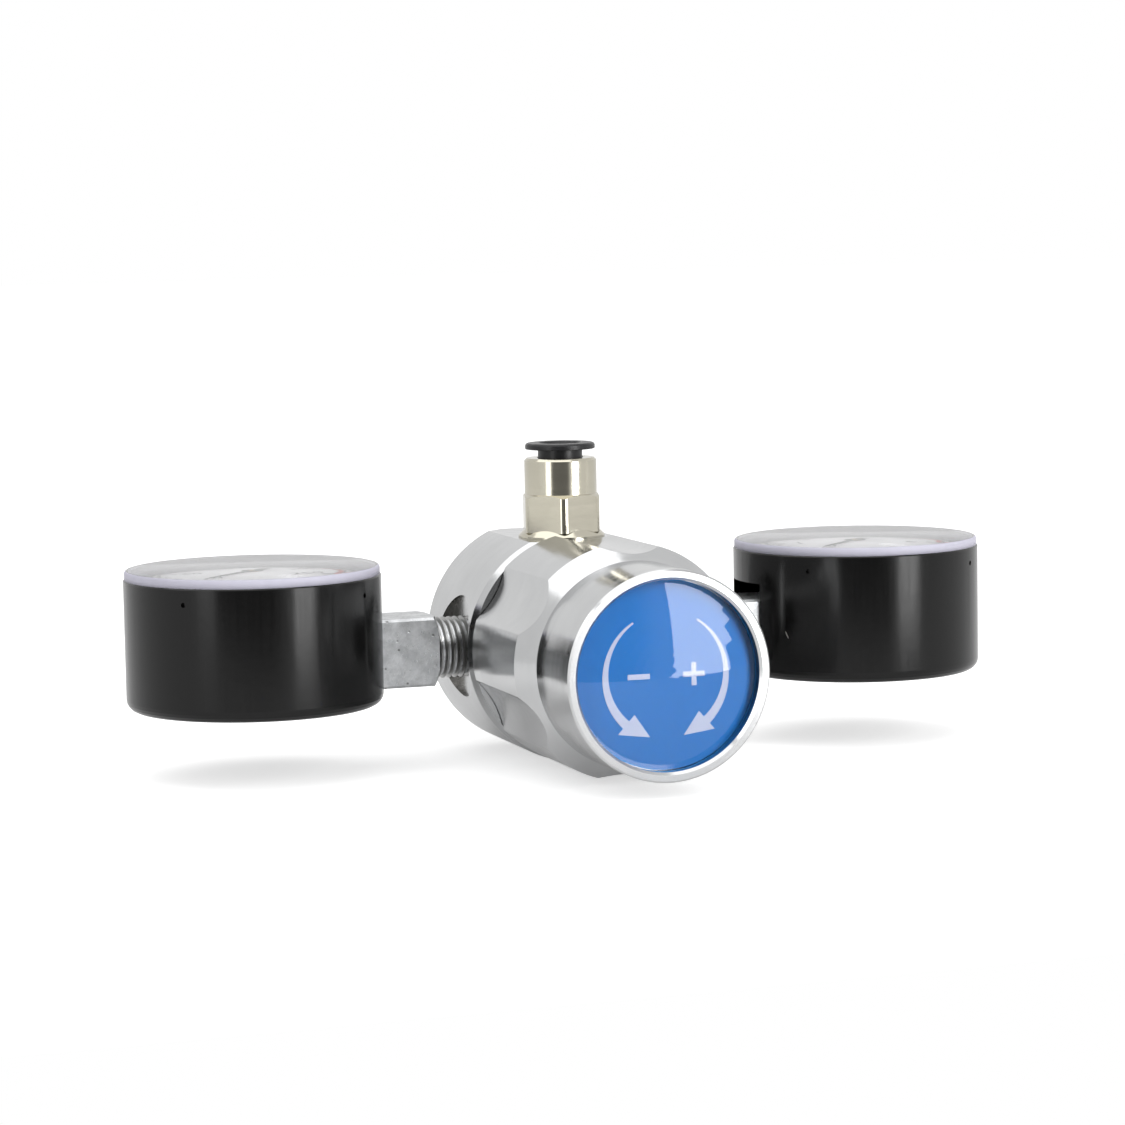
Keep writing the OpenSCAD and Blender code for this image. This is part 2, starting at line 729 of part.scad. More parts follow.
module fitting_body() color(nickel) on_outlet() difference() {
    shank_r = outlet_port_d / 2 - fit_gap;
    sleeve_r = sleeve_d / 2;
    hex_r = hex_w / 2 / cos(30);
    z = fitting_z;
    hex_core = hex_w / 2 - 0.2;
    union() {
        rotate_extrude() polygon([
            [0, z - shank_len], [shank_r - shank_lead, z - shank_len],
            [shank_r, z - shank_len + shank_lead],
            [shank_r, z], [flange_d / 2, z], [flange_d / 2, z + flange_rim],
            [hex_core, z + flange_rim + flange_d / 2 - hex_core],
            [hex_core, z + hex_h - edge], [sleeve_r, z + hex_h],
            [sleeve_r, fitting_top - edge], [sleeve_r - edge, fitting_top], [0, fitting_top]
        ]);
        intersection() {
            translate([0, 0, z + flange_h - slide_gap]) rotate(hex_turn)
                linear_extrude(hex_h - flange_h + slide_gap)
                    polygon(hex_ring(hex_w, hex_round, 6));
            rotate_extrude() polygon([
                [0, z], [flange_d / 2, z], [flange_d / 2, z + flange_h],
                [hex_r + slide_gap, z + flange_h + hex_chamfer],
                [hex_r + slide_gap, z + hex_h - hex_chamfer],
                [hex_w / 2 - slide_gap, z + hex_h], [0, z + hex_h]
            ]);
        }
    }
    translate([0, 0, fitting_top - lip_t - 1]) cylinder(d = neck_d + part_gap, h = lip_t + 2);
    translate([0, 0, cavity_floor]) cylinder(d = cavity_d, h = fitting_top - lip_t - cavity_floor);
    translate([0, 0, tube_stop]) cylinder(d = tube_d, h = fitting_h);
    cylinder(d = passage_d, h = fitting_top);
}

module tube_oring() color(rubber) on_outlet()
    translate([0, 0, cavity_floor + tube_oring_t / 2])
        cord_ring(cavity_d - tube_oring_t - fit_gap, tube_oring_t);

// Slotted spring ring whose teeth grip the tube.
module grab_ring() color(satin) on_outlet() {
    z = cavity_floor + tube_oring_t + slide_gap;
    outer = cavity_d / 2 - fit_gap;
    inner = tube_d / 2 + slide_gap;
    band = outer - 0.5;
    difference() {
        rotate_extrude() polygon([
            [outer, z], [outer, z + grab_t], [band, z + grab_t], [inner, z + grab_t / 3],
            [inner, z], [band, z]
        ]);
        for (turn = [0:45:315]) rotate(turn)
            translate([0, -grab_t / 2, z - 1]) cube([band, grab_t, 3]);
    }
}

module release_ring() color(black) on_outlet() difference() {
    neck_r = neck_d / 2;
    flange_r = ring_d / 2;
    top = ring_z + ring_t;
    rotate_extrude() polygon(concat(
        [[tube_d / 2, barb_bottom], [barb_d / 2 - edge, barb_bottom],
            [barb_d / 2, barb_bottom + edge], [barb_d / 2, barb_top], [neck_r, barb_top],
            [neck_r, ring_z], [flange_r - slide_gap, ring_z], [flange_r, ring_z + slide_gap]],
        arc([flange_r - ring_round, top - ring_round], ring_round, 0, 90, 4),
        [[tube_d / 2 + edge, top], [tube_d / 2, top - edge]]
    ));
    for (turn = [45:90:315]) rotate(turn)
        translate([0, -finger_slot / 2, barb_bottom - 1]) cube([neck_d, finger_slot, barb_t + 2.4]);
}

// ---------------------------------------------------------------- gauges

// Places a gauge. In its own frame the stem points along +X, towards the regulator's body.
module at_gauge(side) translate([side * gauge_x, -s_port, 0])
    rotate(side < 0 ? 0 : 180) children();

// Places what the reader sees upright: dial and pointer.
module on_gauge(side) translate([side * gauge_x, -s_port, 0]) children();

module gauge_case(side) color(black) at_gauge(side) difference() {
    bottom = -case_drop;
    inside_round = case_round - case_wall;
    rotate_extrude() polygon(concat(
        [[0, bottom]],
        arc([rim_r - case_round, bottom + case_round], case_round, -90, 0),
        [[rim_r, case_top - rim_edge], [rim_r - rim_edge, case_top], [inner_r, case_top]],
        arc([inner_r - inside_round, bottom + case_wall + inside_round], inside_round, 0, -90),
        [[0, bottom + case_wall]]
    ));
    translate([rim_r / 2, -stem_w / 2 - part_gap, -stem_w / 2 - part_gap])
        cube([rim_r, stem_w + 2 * part_gap, stem_w + part_gap + notch_gap]);
    for (turn = [45:90:315]) rotate(turn)
        translate([rim_r - dimple_depth, 0, dimple_z]) rotate([0, 90, 0])
            cylinder(d = dimple_d, h = 1);
}

module gauge_lens(side) color(clear) on_gauge(side) {
    r = rim_r - rim_edge;
    skirt_r = inner_r - slide_gap;
    skirt_in = skirt_r - lens_t / 2;
    top = case_top + lens_t;
    rotate_extrude() polygon(concat(
        [[0, case_top], [skirt_in, case_top], [skirt_in, case_top - lens_skirt],
            [skirt_r, case_top - lens_skirt], [skirt_r, case_top], [r, case_top]],
        arc([r - lens_edge, top - lens_edge], lens_edge, 0, 90, 4),
        [[0, top]]
    ));
}

module gauge_dial(side) color(white) on_gauge(side) difference() {
    translate([0, 0, dial_z]) cylinder(r = inner_r - dial_gap, h = dial_t);
    translate([0, 0, dial_z - 1]) cylinder(d = 2 * arbor_d, h = 3);
}

// Square stem, its thread into the body, and the block that holds the tube and the movement.
module gauge_stem(side) color(zinc) at_gauge(side) difference() {
    half = stem_w / 2;
    shank_r = port_d / 2 - fit_gap;
    bevel_r = half + stem_bevel;
    union() {
        intersection() {
            translate([stem_inner, 0, 0]) rotate([90, 0, 90]) linear_extrude(stem_end - stem_inner)
                polygon([
                    [half - stem_edge, -half], [half, stem_edge - half],
                    [half, half - stem_edge], [half - stem_edge, half],
                    [stem_edge - half, half], [-half, half - stem_edge],
                    [-half, stem_edge - half], [stem_edge - half, -half]
                ]);
            rotate([0, 90, 0]) rotate_extrude() polygon([
                [0, 0], [stem_w, 0], [stem_w, stem_end - (stem_w - bevel_r) * stem_bevel_slope],
                [bevel_r, stem_end], [0, stem_end]
            ]);
        }
        rotate([0, 90, 0]) translate([0, 0, stem_end - 1]) cylinder(d = thread_d, h = thread_len + 1);
        rotate([0, 90, 0]) translate([0, 0, stem_reach - 1])
            cylinder(r = shank_r, h = port_depth - shank_lead);
    }
    rotate([0, 90, 0]) translate([0, 0, bourdon_r]) cylinder(d = gas_bore_d, h = stem_reach);
    translate([bourdon_r, 0, 0]) rotate([90, 0, 0]) cylinder(d = tube_feed_d, h = stem_w);
}

// Flattened C-shaped tube, open where it meets the stem block and closed at its tip.
module tube_section(w, h) {
    square([w, h - w], center = true);
    for (end = [-1, 1]) translate([0, end * (h - w) / 2]) circle(d = w, $fn = 24);
}

module bourdon_tube(side) color(brass) at_gauge(side) {
    start = asin((stem_w / 2 + fit_gap) / (bourdon_r - tube_w / 2));
    sweep = tip_angle - start;
    difference() {
        rotate(start) rotate_extrude(angle = sweep)
            translate([bourdon_r, 0]) tube_section(tube_w, tube_h);
        rotate(start - tip_wall) rotate_extrude(angle = sweep)
            translate([bourdon_r, 0])
                tube_section(tube_w - 2 * tube_skin, tube_h - 2 * tube_skin);
    }
    translate([link_head[0], link_head[1], 0]) rotate(tip_angle)
        translate([-tube_w / 2, -lug_w / 4, 0]) cube([tube_w, lug_w, link_z - slide_gap]);
}

// Two plates on two pillars; the lower one is screwed to the stem block.
module plate_outline() {
    rotate(sector_bearing) {
        translate([sector_axis, 0]) circle(r = plate_pad_r);
        translate([sector_axis / 2, 0]) square([sector_axis, plate_arm_w], center = true);
    }
    translate([2, 0]) square(plate_tab, center = true);
}

module movement_frame(side) color(brass) at_gauge(side) {
    pillar_h = plate_high - plate_low - plate_t;
    difference() {
        union() {
            for (z = [plate_low, plate_high])
                translate([0, 0, z]) linear_extrude(plate_t) plate_outline();
            for (x = pillar_x) {
                translate([x, 0, plate_low + plate_t - eps]) cylinder(d = pillar_d, h = pillar_h + 2 * eps);
                translate([x, 0, plate_high + plate_t - eps])
                    cylinder(d = dial_post_d, h = dial_z - plate_high - plate_t + eps);
            }
        }
        cylinder(d = arbor_d + 2 * fit_gap, h = case_d, center = true);
        translate([sector_pivot[0], sector_pivot[1], 0])
            cylinder(d = pivot_d + 2 * fit_gap, h = case_d, center = true);
    }
}

// A gear tooth from root to tip, thinner than half the pitch so that it runs freely.
module tooth(r, pitch_angle) {
    root = pitch_angle * tooth_root_share / 2;
    mid = pitch_angle * tooth_mid_share / 2;
    tip = pitch_angle * tooth_tip_share / 2;
    low = r - dedendum;
    high = r + addendum;
    polygon([
        low * [cos(root), -sin(root)], r * [cos(mid), -sin(mid)], high * [cos(tip), -sin(tip)],
        high * [cos(tip), sin(tip)], r * [cos(mid), sin(mid)], low * [cos(root), sin(root)]
    ]);
}

// Toothed sector with its arbor and its tail, drawn at the rest position.
module sector_gear(side) color(brass) at_gauge(side)
    translate([sector_pivot[0], sector_pivot[1], 0]) {
    pitch_angle = 360 / sector_teeth;
    root_r = sector_r - dedendum;
    facing = sector_bearing + 180;
    first = -ceil((sector_swing + spare_swing) / pitch_angle);
    last = ceil(spare_swing / pitch_angle);
    spread = (last - first + 1) * pitch_angle;
    middle = (last + first) / 2 * pitch_angle;
    translate([0, 0, sector_z]) linear_extrude(sector_t) rotate(facing) {
        for (i = [first:last]) rotate(i * pitch_angle) tooth(sector_r, pitch_angle);
        rotate(middle) difference() {
            polygon(concat([[0, 0]],
                [for (i = [0:16]) let (a = spread * (i / 16 - 0.5))
                    (root_r + eps) * [cos(a), sin(a)]]));
            polygon(concat(
                [for (i = [0:8]) let (a = (spread - 10) * (i / 8 - 0.5))
                    (root_r - sector_rim) * [cos(a), sin(a)]],
                [for (i = [8:-1:0]) let (a = (spread - 16) * (i / 8 - 0.5))
                    sector_window_r * [cos(a), sin(a)]]));
        }
        circle(r = hub_r);
        rotate(tail_turn) {
            translate([0, -tail_w / 2]) square([tail_r, tail_w]);
            translate([tail_r, 0]) circle(d = tail_pad_d);
        }
    }
    translate([0, 0, plate_low + plate_t + slide_gap])
        cylinder(d = sector_arbor_d, h = plate_high - plate_low - plate_t - 2 * slide_gap);
    translate([0, 0, plate_low + slide_gap])
        cylinder(d = pivot_d, h = plate_high + plate_t - plate_low - 2 * slide_gap);
    rotate(tail_angle) translate([tail_r, 0, sector_z + sector_t - eps])
        cylinder(d = link_pin_d, h = link_z + link_t - sector_z - sector_t);
}

// Link from the sector's tail to the lug on the tube's tip.
module tube_link(side) color(brass) at_gauge(side) {
    span = link_head - link_foot;
    length = norm(span);
    translate([link_foot[0], link_foot[1], link_z]) rotate(atan2(span[1], span[0]))
        linear_extrude(link_t) difference() {
            union() {
                circle(d = link_pad_d);
                translate([length, 0]) circle(d = tail_pad_d);
                translate([0, -link_pin_d / 2]) square([length, link_pin_d]);
            }
            circle(d = link_pin_d + 2 * fit_gap);
        }
}

module pinion(side) color(brass) at_gauge(side) {
    pitch_angle = 360 / pinion_teeth;
    translate([0, 0, sector_z - slide_gap]) linear_extrude(sector_t + 5 * slide_gap)
        rotate(sector_bearing + pitch_angle / 2) {
            for (i = [0:pinion_teeth - 1]) rotate(i * pitch_angle) tooth(pinion_r, pitch_angle);
            circle(r = pinion_r - dedendum + eps);
        }
    translate([0, 0, plate_low + slide_gap])
        cylinder(d = arbor_d, h = pointer_z + pointer_t + part_gap - plate_low - slide_gap);
}

module pointer(side) color(black) on_gauge(side) rotate(pointer_rest) {
    length = inner_r - pointer_short;
    half = pointer_w / 2;
    translate([0, 0, pointer_z]) linear_extrude(pointer_t) difference() {
        union() {
            polygon([
                [0, -half], [length - 2, -half / 2], [length, 0], [length - 2, half / 2], [0, half]
            ]);
            polygon([
                [0, -half], [0, half], [-pointer_tail, pointer_w], [-pointer_tail, -pointer_w]
            ]);
            circle(d = pointer_hub_d);
        }
        circle(d = arbor_d + 2 * eps);
    }
}

// ---------------------------------------------------------------- output

regulator_body();
inlet_socket();
inlet_seal();
piercing_pin();
inlet_filter();
valve_seat();
poppet();
poppet_spring();
piston();
piston_oring();
bonnet();
range_spring();
spring_carriage();
spindle();
thrust_washer();
knob_shell();
knob_screw();
label_disc();
label_dome();
fitting_body();
tube_oring();
grab_ring();
release_ring();
gauge_case(-1);  // left_case
gauge_lens(-1);  // left_lens
gauge_dial(-1);  // left_dial
gauge_stem(-1);  // left_stem
bourdon_tube(-1);  // left_bourdon_tube
movement_frame(-1);  // left_movement_frame
sector_gear(-1);  // left_sector_gear
tube_link(-1);  // left_link
pinion(-1);  // left_pinion
pointer(-1);  // left_pointer
gauge_case(1);  // right_case
gauge_lens(1);  // right_lens
gauge_dial(1);  // right_dial
gauge_stem(1);  // right_stem
bourdon_tube(1);  // right_bourdon_tube
movement_frame(1);  // right_movement_frame
sector_gear(1);  // right_sector_gear
tube_link(1);  // right_link
pinion(1);  // right_pinion
pointer(1);  // right_pointer
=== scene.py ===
# Carbon dioxide regulator: the finishes, threads and prints of its pieces, on a pale floor.
# Metres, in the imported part's own frame: the knob points along -Y, the gauges stand on +X and -X.
import math
import bmesh
import bpy
from mathutils import Matrix, Vector
from mathutils.bvhtree import BVHTree


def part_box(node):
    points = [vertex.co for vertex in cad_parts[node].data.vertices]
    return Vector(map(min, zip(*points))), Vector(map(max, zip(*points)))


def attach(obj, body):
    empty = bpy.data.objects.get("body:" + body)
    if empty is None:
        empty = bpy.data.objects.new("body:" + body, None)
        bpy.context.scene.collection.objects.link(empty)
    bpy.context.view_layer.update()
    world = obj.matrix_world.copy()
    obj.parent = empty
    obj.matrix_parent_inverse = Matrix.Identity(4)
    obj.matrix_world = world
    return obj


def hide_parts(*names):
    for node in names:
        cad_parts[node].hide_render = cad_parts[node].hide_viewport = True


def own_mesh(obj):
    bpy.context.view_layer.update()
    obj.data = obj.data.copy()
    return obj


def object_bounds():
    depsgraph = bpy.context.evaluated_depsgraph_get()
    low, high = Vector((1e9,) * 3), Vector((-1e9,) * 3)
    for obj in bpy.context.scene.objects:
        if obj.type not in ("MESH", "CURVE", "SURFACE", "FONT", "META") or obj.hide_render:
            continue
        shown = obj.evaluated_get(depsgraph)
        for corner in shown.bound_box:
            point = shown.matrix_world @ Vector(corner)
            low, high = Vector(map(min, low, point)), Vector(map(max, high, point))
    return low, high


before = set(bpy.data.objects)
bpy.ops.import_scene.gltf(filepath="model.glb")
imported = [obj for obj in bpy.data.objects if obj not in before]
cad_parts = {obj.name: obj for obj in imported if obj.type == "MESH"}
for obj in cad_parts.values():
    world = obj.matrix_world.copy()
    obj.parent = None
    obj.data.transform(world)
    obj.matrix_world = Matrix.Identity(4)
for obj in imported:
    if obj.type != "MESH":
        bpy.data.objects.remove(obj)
cad_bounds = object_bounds()
mm = 0.001


# The camera, set by the image points below: it looks at the regulator from the left of the knob
# and slightly above, through a long lens, with a small roll.
W = 1125
H = 1125
image_points = {
    "object_left_x": 122.3,
    "object_right_x": 979.0,
    "object_top_y": 440.0,
    "object_bottom_y": 781.9,
    "left_clear_lens": (252.2, 572.4),
    "right_clear_lens": (855.4, 541.7),
    "left_case": (254.0, 647.8),
    "right_case": (855.5, 613.3),
    "left_stem": (425.0, 649.3),
    "left_stem_thread": (452.0, 646.3),
    "release_ring": (559.3, 450.0),
    "fitting_body": (561.5, 497.1),
    "label_dome": (666.5, 674.8),
    "case_scratch": (787.0, 635.0),
}
camera_azimuth = math.radians(18.366)
camera_elevation = math.radians(5.711)
camera_roll = math.radians(-1.077)
camera_distance = 577.687 * mm
camera_aim = Vector((0.072, -26.5, 12.654)) * mm
camera_lens = 113.94
camera_sensor = 36
away = Vector((
    -math.sin(camera_azimuth) * math.cos(camera_elevation),
    -math.cos(camera_azimuth) * math.cos(camera_elevation),
    math.sin(camera_elevation),
))
level_right = (-away).cross(Vector((0, 0, 1))).normalized()
roll = Matrix.Rotation(camera_roll, 3, away)
camera_right = roll @ level_right
camera_up = away.cross(camera_right)
camera_data = bpy.data.cameras.new("photo_camera")
camera_data.sensor_fit = "AUTO"
camera_data.sensor_width = camera_sensor
camera_data.lens = camera_lens
camera_data.clip_start = 0.01
camera = bpy.data.objects.new("photo_camera", camera_data)
bpy.context.scene.collection.objects.link(camera)
axes = Matrix((camera_right, camera_up, away)).transposed()
camera.matrix_world = Matrix.Translation(camera_aim + away * camera_distance) @ axes.to_4x4()
bpy.context.scene.camera = camera
bpy.context.scene.view_settings.view_transform = "Standard"


# The floor and the light: a pale floor that keeps the shadow and shows nearly white, and a white
# studio that is dark where the camera stands. A tall bright softbox stands at the front right and a
# weaker one at the front left, and a broad one hangs overhead.
def shows_background(tree):
    """1 for the rays that see the background: camera, glossy and transmission; else 0."""
    path = tree.nodes.new("ShaderNodeLightPath")
    seen = path.outputs["Is Camera Ray"]
    for kind in ("Is Glossy Ray", "Is Transmission Ray"):
        either = tree.nodes.new("ShaderNodeMath")
        either.operation = "MAXIMUM"
        tree.links.new(seen, either.inputs[0])
        tree.links.new(path.outputs[kind], either.inputs[1])
        seen = either.outputs[0]
    return seen


def mix_values(tree, factor, low, high):
    """low where the factor is 0, high where it is 1; either may be a number or a socket."""
    node = tree.nodes.new("ShaderNodeMix")
    node.data_type = "FLOAT"
    tree.links.new(factor, node.inputs[0])
    for socket, value in ((node.inputs[2], low), (node.inputs[3], high)):
        if isinstance(value, (int, float)):
            socket.default_value = value
        else:
            tree.links.new(value, socket)
    return node.outputs[0]


floor_front = -0.20
floor_back = 4.0
floor_side = 4.0
floor_paint = (0.8, 0.8, 0.8)
lift_seen = 0.55
lift_reflected = 0.15
floor_bm = bmesh.new()
bmesh.ops.create_grid(floor_bm, x_segments=1, y_segments=1, size=1)
bmesh.ops.scale(floor_bm, vec=(floor_side, (floor_back - floor_front) / 2, 1), verts=floor_bm.verts)
floor_middle = (0, (floor_back + floor_front) / 2, cad_bounds[0][2])
bmesh.ops.translate(floor_bm, vec=floor_middle, verts=floor_bm.verts)
floor_mesh = bpy.data.meshes.new("studio_floor")
floor_bm.to_mesh(floor_mesh)
floor_bm.free()
floor = bpy.data.objects.new("studio_floor", floor_mesh)
bpy.context.scene.collection.objects.link(floor)
floor_material = bpy.data.materials.new("pale_floor")
floor_material.use_nodes = True
tree = floor_material.node_tree
tree.nodes.remove(tree.nodes["Principled BSDF"])
paint = tree.nodes.new("ShaderNodeBsdfDiffuse")
paint.inputs["Color"].default_value = (*floor_paint, 1)
lift = tree.nodes.new("ShaderNodeEmission")
in_reflections = mix_values(tree, shows_background(tree), 0, lift_reflected)
camera_ray = tree.nodes.new("ShaderNodeLightPath").outputs["Is Camera Ray"]
tree.links.new(mix_values(tree, camera_ray, in_reflections, lift_seen), lift.inputs["Strength"])
both = tree.nodes.new("ShaderNodeAddShader")
tree.links.new(paint.outputs[0], both.inputs[0])
tree.links.new(lift.outputs[0], both.inputs[1])
tree.links.new(both.outputs[0], tree.nodes["Material Output"].inputs["Surface"])
floor_mesh.materials.append(floor_material)

world_level = 0.6
studio_level = 0.92
room_level = 0.18
room_direction = (-0.31, -0.94, 0.12)
room_edge = 0.80
room_core = 0.91
room_height_share = 0.55
world = bpy.data.worlds.new("studio")
bpy.context.scene.world = world
world.use_nodes = True
tree = world.node_tree
direction = tree.nodes.new("ShaderNodeTexCoord")
flatter = tree.nodes.new("ShaderNodeMapping")
flatter.vector_type = "VECTOR"
flatter.inputs["Scale"].default_value = (1, 1, room_height_share)
tree.links.new(direction.outputs["Generated"], flatter.inputs["Vector"])
unit = tree.nodes.new("ShaderNodeVectorMath")
unit.operation = "NORMALIZE"
tree.links.new(flatter.outputs[0], unit.inputs[0])
towards_room = tree.nodes.new("ShaderNodeVectorMath")
towards_room.operation = "DOT_PRODUCT"
towards_room.inputs[1].default_value = room_direction
tree.links.new(unit.outputs[0], towards_room.inputs[0])
dark_room = tree.nodes.new("ShaderNodeMapRange")
dark_room.interpolation_type = "SMOOTHSTEP"
dark_room.inputs["From Min"].default_value = room_edge
dark_room.inputs["From Max"].default_value = room_core
dark_room.inputs["To Min"].default_value = studio_level
dark_room.inputs["To Max"].default_value = room_level
tree.links.new(towards_room.outputs["Value"], dark_room.inputs["Value"])
lit = mix_values(tree, shows_background(tree), world_level, dark_room.outputs[0])
camera_ray = tree.nodes.new("ShaderNodeLightPath").outputs["Is Camera Ray"]
tree.links.new(mix_values(tree, camera_ray, lit, 1), tree.nodes["Background"].inputs["Strength"])
tree.nodes["Background"].inputs["Color"].default_value = (1, 1, 1, 1)


def softbox(name, centre, towards, width, height, radiance):
    """A rectangular lamp that faces a point; its power follows from its radiance and area."""
    lamp = bpy.data.lights.new(name, "AREA")
    lamp.shape = "RECTANGLE"
    lamp.size = width
    lamp.size_y = height
    lamp.energy = radiance * width * height * math.pi
    box = bpy.data.objects.new(name, lamp)
    bpy.context.scene.collection.objects.link(box)
    box.matrix_world = Matrix.Translation(centre) @ (
        (Vector(towards) - Vector(centre)).to_track_quat("-Z", "Y").to_matrix().to_4x4())


softbox("right_softbox", (0.49, -0.87, 0.40), (0, -0.05, 0.40), 0.34, 1.2, 7)
softbox("left_softbox", (-0.83, -0.56, 0.40), (0, -0.05, 0.40), 0.28, 1.2, 2.2)
softbox("top_softbox", (-0.2, -0.1, 1.1), (0, -0.03, 0), 1.7, 1.1, 1.15)


# Regulator body: one turned stainless steel bar with three spot-faced and tapped ports. The lathe
# leaves fine rings on it. Its rear edge tapers, and a flat is milled along its top, level with the
# outlet's seat: both are cut here into a copy of the CAD body.
def finish(name, values):
    """A new material with a Principled shader whose plain values are set on its own sockets."""
    material = bpy.data.materials.new(name)
    material.use_nodes = True
    shader = material.node_tree.nodes["Principled BSDF"]
    for socket, value in values.items():
        shader.inputs[socket].default_value = value
    return material, material.node_tree, shader


def piece_coordinates(tree, centre=(0, 0, 0), turn=(0, 0, 0), scale=(1, 1, 1)):
    """Object coordinates, moved so that a pattern is centred on the piece and turned with it."""
    place = tree.nodes.new("ShaderNodeTexCoord")
    mapping = tree.nodes.new("ShaderNodeMapping")
    mapping.vector_type = "TEXTURE"
    mapping.inputs["Location"].default_value = centre
    mapping.inputs["Rotation"].default_value = turn
    mapping.inputs["Scale"].default_value = scale
    tree.links.new(place.outputs["Object"], mapping.inputs["Vector"])
    return mapping.outputs["Vector"]


def lathe_coordinates(tree, vector, drift=0.02):
    """(radius, place along local Z, a little of the angle): lathe marks run round local Z."""
    split = tree.nodes.new("ShaderNodeSeparateXYZ")
    tree.links.new(vector, split.inputs[0])
    flat = tree.nodes.new("ShaderNodeCombineXYZ")
    tree.links.new(split.outputs["X"], flat.inputs["X"])
    tree.links.new(split.outputs["Y"], flat.inputs["Y"])
    radius = tree.nodes.new("ShaderNodeVectorMath")
    radius.operation = "LENGTH"
    tree.links.new(flat.outputs[0], radius.inputs[0])
    drifting = tree.nodes.new("ShaderNodeMath")
    drifting.operation = "MULTIPLY"
    drifting.inputs[1].default_value = drift
    tree.links.new(split.outputs["X"], drifting.inputs[0])
    rings = tree.nodes.new("ShaderNodeCombineXYZ")
    tree.links.new(radius.outputs["Value"], rings.inputs["X"])
    tree.links.new(split.outputs["Z"], rings.inputs["Y"])
    tree.links.new(drifting.outputs[0], rings.inputs["Z"])
    return rings.outputs[0]


def noise(tree, vector, size, detail=3, roughness=0.5):
    """Noise whose features are about size metres across."""
    texture = tree.nodes.new("ShaderNodeTexNoise")
    texture.inputs["Scale"].default_value = 1 / size
    texture.inputs["Detail"].default_value = detail
    texture.inputs["Roughness"].default_value = roughness
    tree.links.new(vector, texture.inputs["Vector"])
    return texture.outputs["Fac"]


def spread(tree, value, low, high, start=0.3, end=0.7):
    """Takes a value from start..end to low..high."""
    node = tree.nodes.new("ShaderNodeMapRange")
    node.inputs["From Min"].default_value = start
    node.inputs["From Max"].default_value = end
    node.inputs["To Min"].default_value = low
    node.inputs["To Max"].default_value = high
    tree.links.new(value, node.inputs["Value"])
    return node.outputs[0]


def blend_colours(tree, factor, first, second):
    """A colour between two others; either may be a colour or a socket."""
    node = tree.nodes.new("ShaderNodeMix")
    node.data_type = "RGBA"
    tree.links.new(factor, node.inputs[0])
    for socket, colour in ((node.inputs[6], first), (node.inputs[7], second)):
        if isinstance(colour, tuple):
            socket.default_value = (*colour, 1)
        else:
            tree.links.new(colour, socket)
    return node.outputs[2]


def colour_between(tree, shader, factor, first, second):
    """Colours a finish between two colours."""
    tree.links.new(blend_colours(tree, factor, first, second), shader.inputs["Base Color"])


def roughen(tree, shader, value, low, high):
    """Spreads the roughness of a finish between two values."""
    tree.links.new(spread(tree, value, low, high), shader.inputs["Roughness"])


def relief(tree, shader, height, depth, under=None):
    """Bump of a real depth in metres, laid over another one where that is given."""
    node = tree.nodes.new("ShaderNodeBump")
    node.inputs["Distance"].default_value = depth
    tree.links.new(height, node.inputs["Height"])
    if under:
        tree.links.new(under, node.inputs["Normal"])
    tree.links.new(node.outputs[0], shader.inputs["Normal"])
    return node.outputs[0]


def turned_metal(name, tint, shade, rough, centre=(0, 0, 0), turn=(math.pi / 2, 0, 0), groove=0.0012 * mm):
    """Metal off the lathe: fine rings in its relief and gloss, and a faint cloud in its colour."""
    material, tree, shader = finish(name, {"Metallic": 1.0})
    rings = lathe_coordinates(tree, piece_coordinates(tree, centre, turn))
    fine = noise(tree, rings, 0.10 * mm, 2)
    broad = noise(tree, rings, 0.8 * mm, 3)
    cloud = noise(tree, piece_coordinates(tree, centre, turn), 9 * mm, 3)
    colour_between(tree, shader, spread(tree, cloud, 0, 1), tint, shade)
    roughen(tree, shader, broad, rough * 0.8, rough * 1.25)
    relief(tree, shader, broad, groove * 3, relief(tree, shader, fine, groove))
    return material


def dress(material, *nodes):
    """Gives CAD nodes a finish."""
    for name in nodes:
        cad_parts[name].data.materials[0] = material


def middle(node):
    """The middle of a CAD node's box at rest."""
    low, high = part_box(node)
    return (low + high) / 2


def new_piece(name, bm, *materials):
    """Makes an object from a bmesh, which it frees, and gives it its finishes."""
    mesh = bpy.data.meshes.new(name)
    bm.to_mesh(mesh)
    bm.free()
    for material in materials:
        mesh.materials.append(material)
    piece = bpy.data.objects.new(name, mesh)
    bpy.context.scene.collection.objects.link(piece)
    return piece


def merged_copy(node, name):
    """A copy of a CAD node's mesh with its loose triangles joined, as a new object."""
    bm = bmesh.new()
    bm.from_mesh(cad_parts[node].data)
    bmesh.ops.remove_doubles(bm, verts=bm.verts, dist=1e-6)
    return new_piece(name, bm)


def refinish(piece, *materials):
    """Puts new finishes in place of those that a copy brought from the CAD."""
    piece.data.materials.clear()
    for material in materials:
        piece.data.materials.append(material)


def smooth(piece, sharp_degrees):
    """Shades a piece smoothly, but for the edges that turn by more than an angle."""
    piece.data.shade_smooth()
    piece.data.set_sharp_from_angle(angle=math.radians(sharp_degrees))


def cut_away(piece, cutter):
    """Cuts one object out of another and throws the cutter away."""
    cut = piece.modifiers.new("cut", "BOOLEAN")
    cut.operation = "DIFFERENCE"
    cut.solver = "EXACT"
    cut.object = cutter
    bpy.context.view_layer.update()
    mesh = bpy.data.meshes.new_from_object(piece.evaluated_get(bpy.context.evaluated_depsgraph_get()))
    piece.modifiers.clear()
    piece.data = mesh
    bpy.data.objects.remove(cutter)


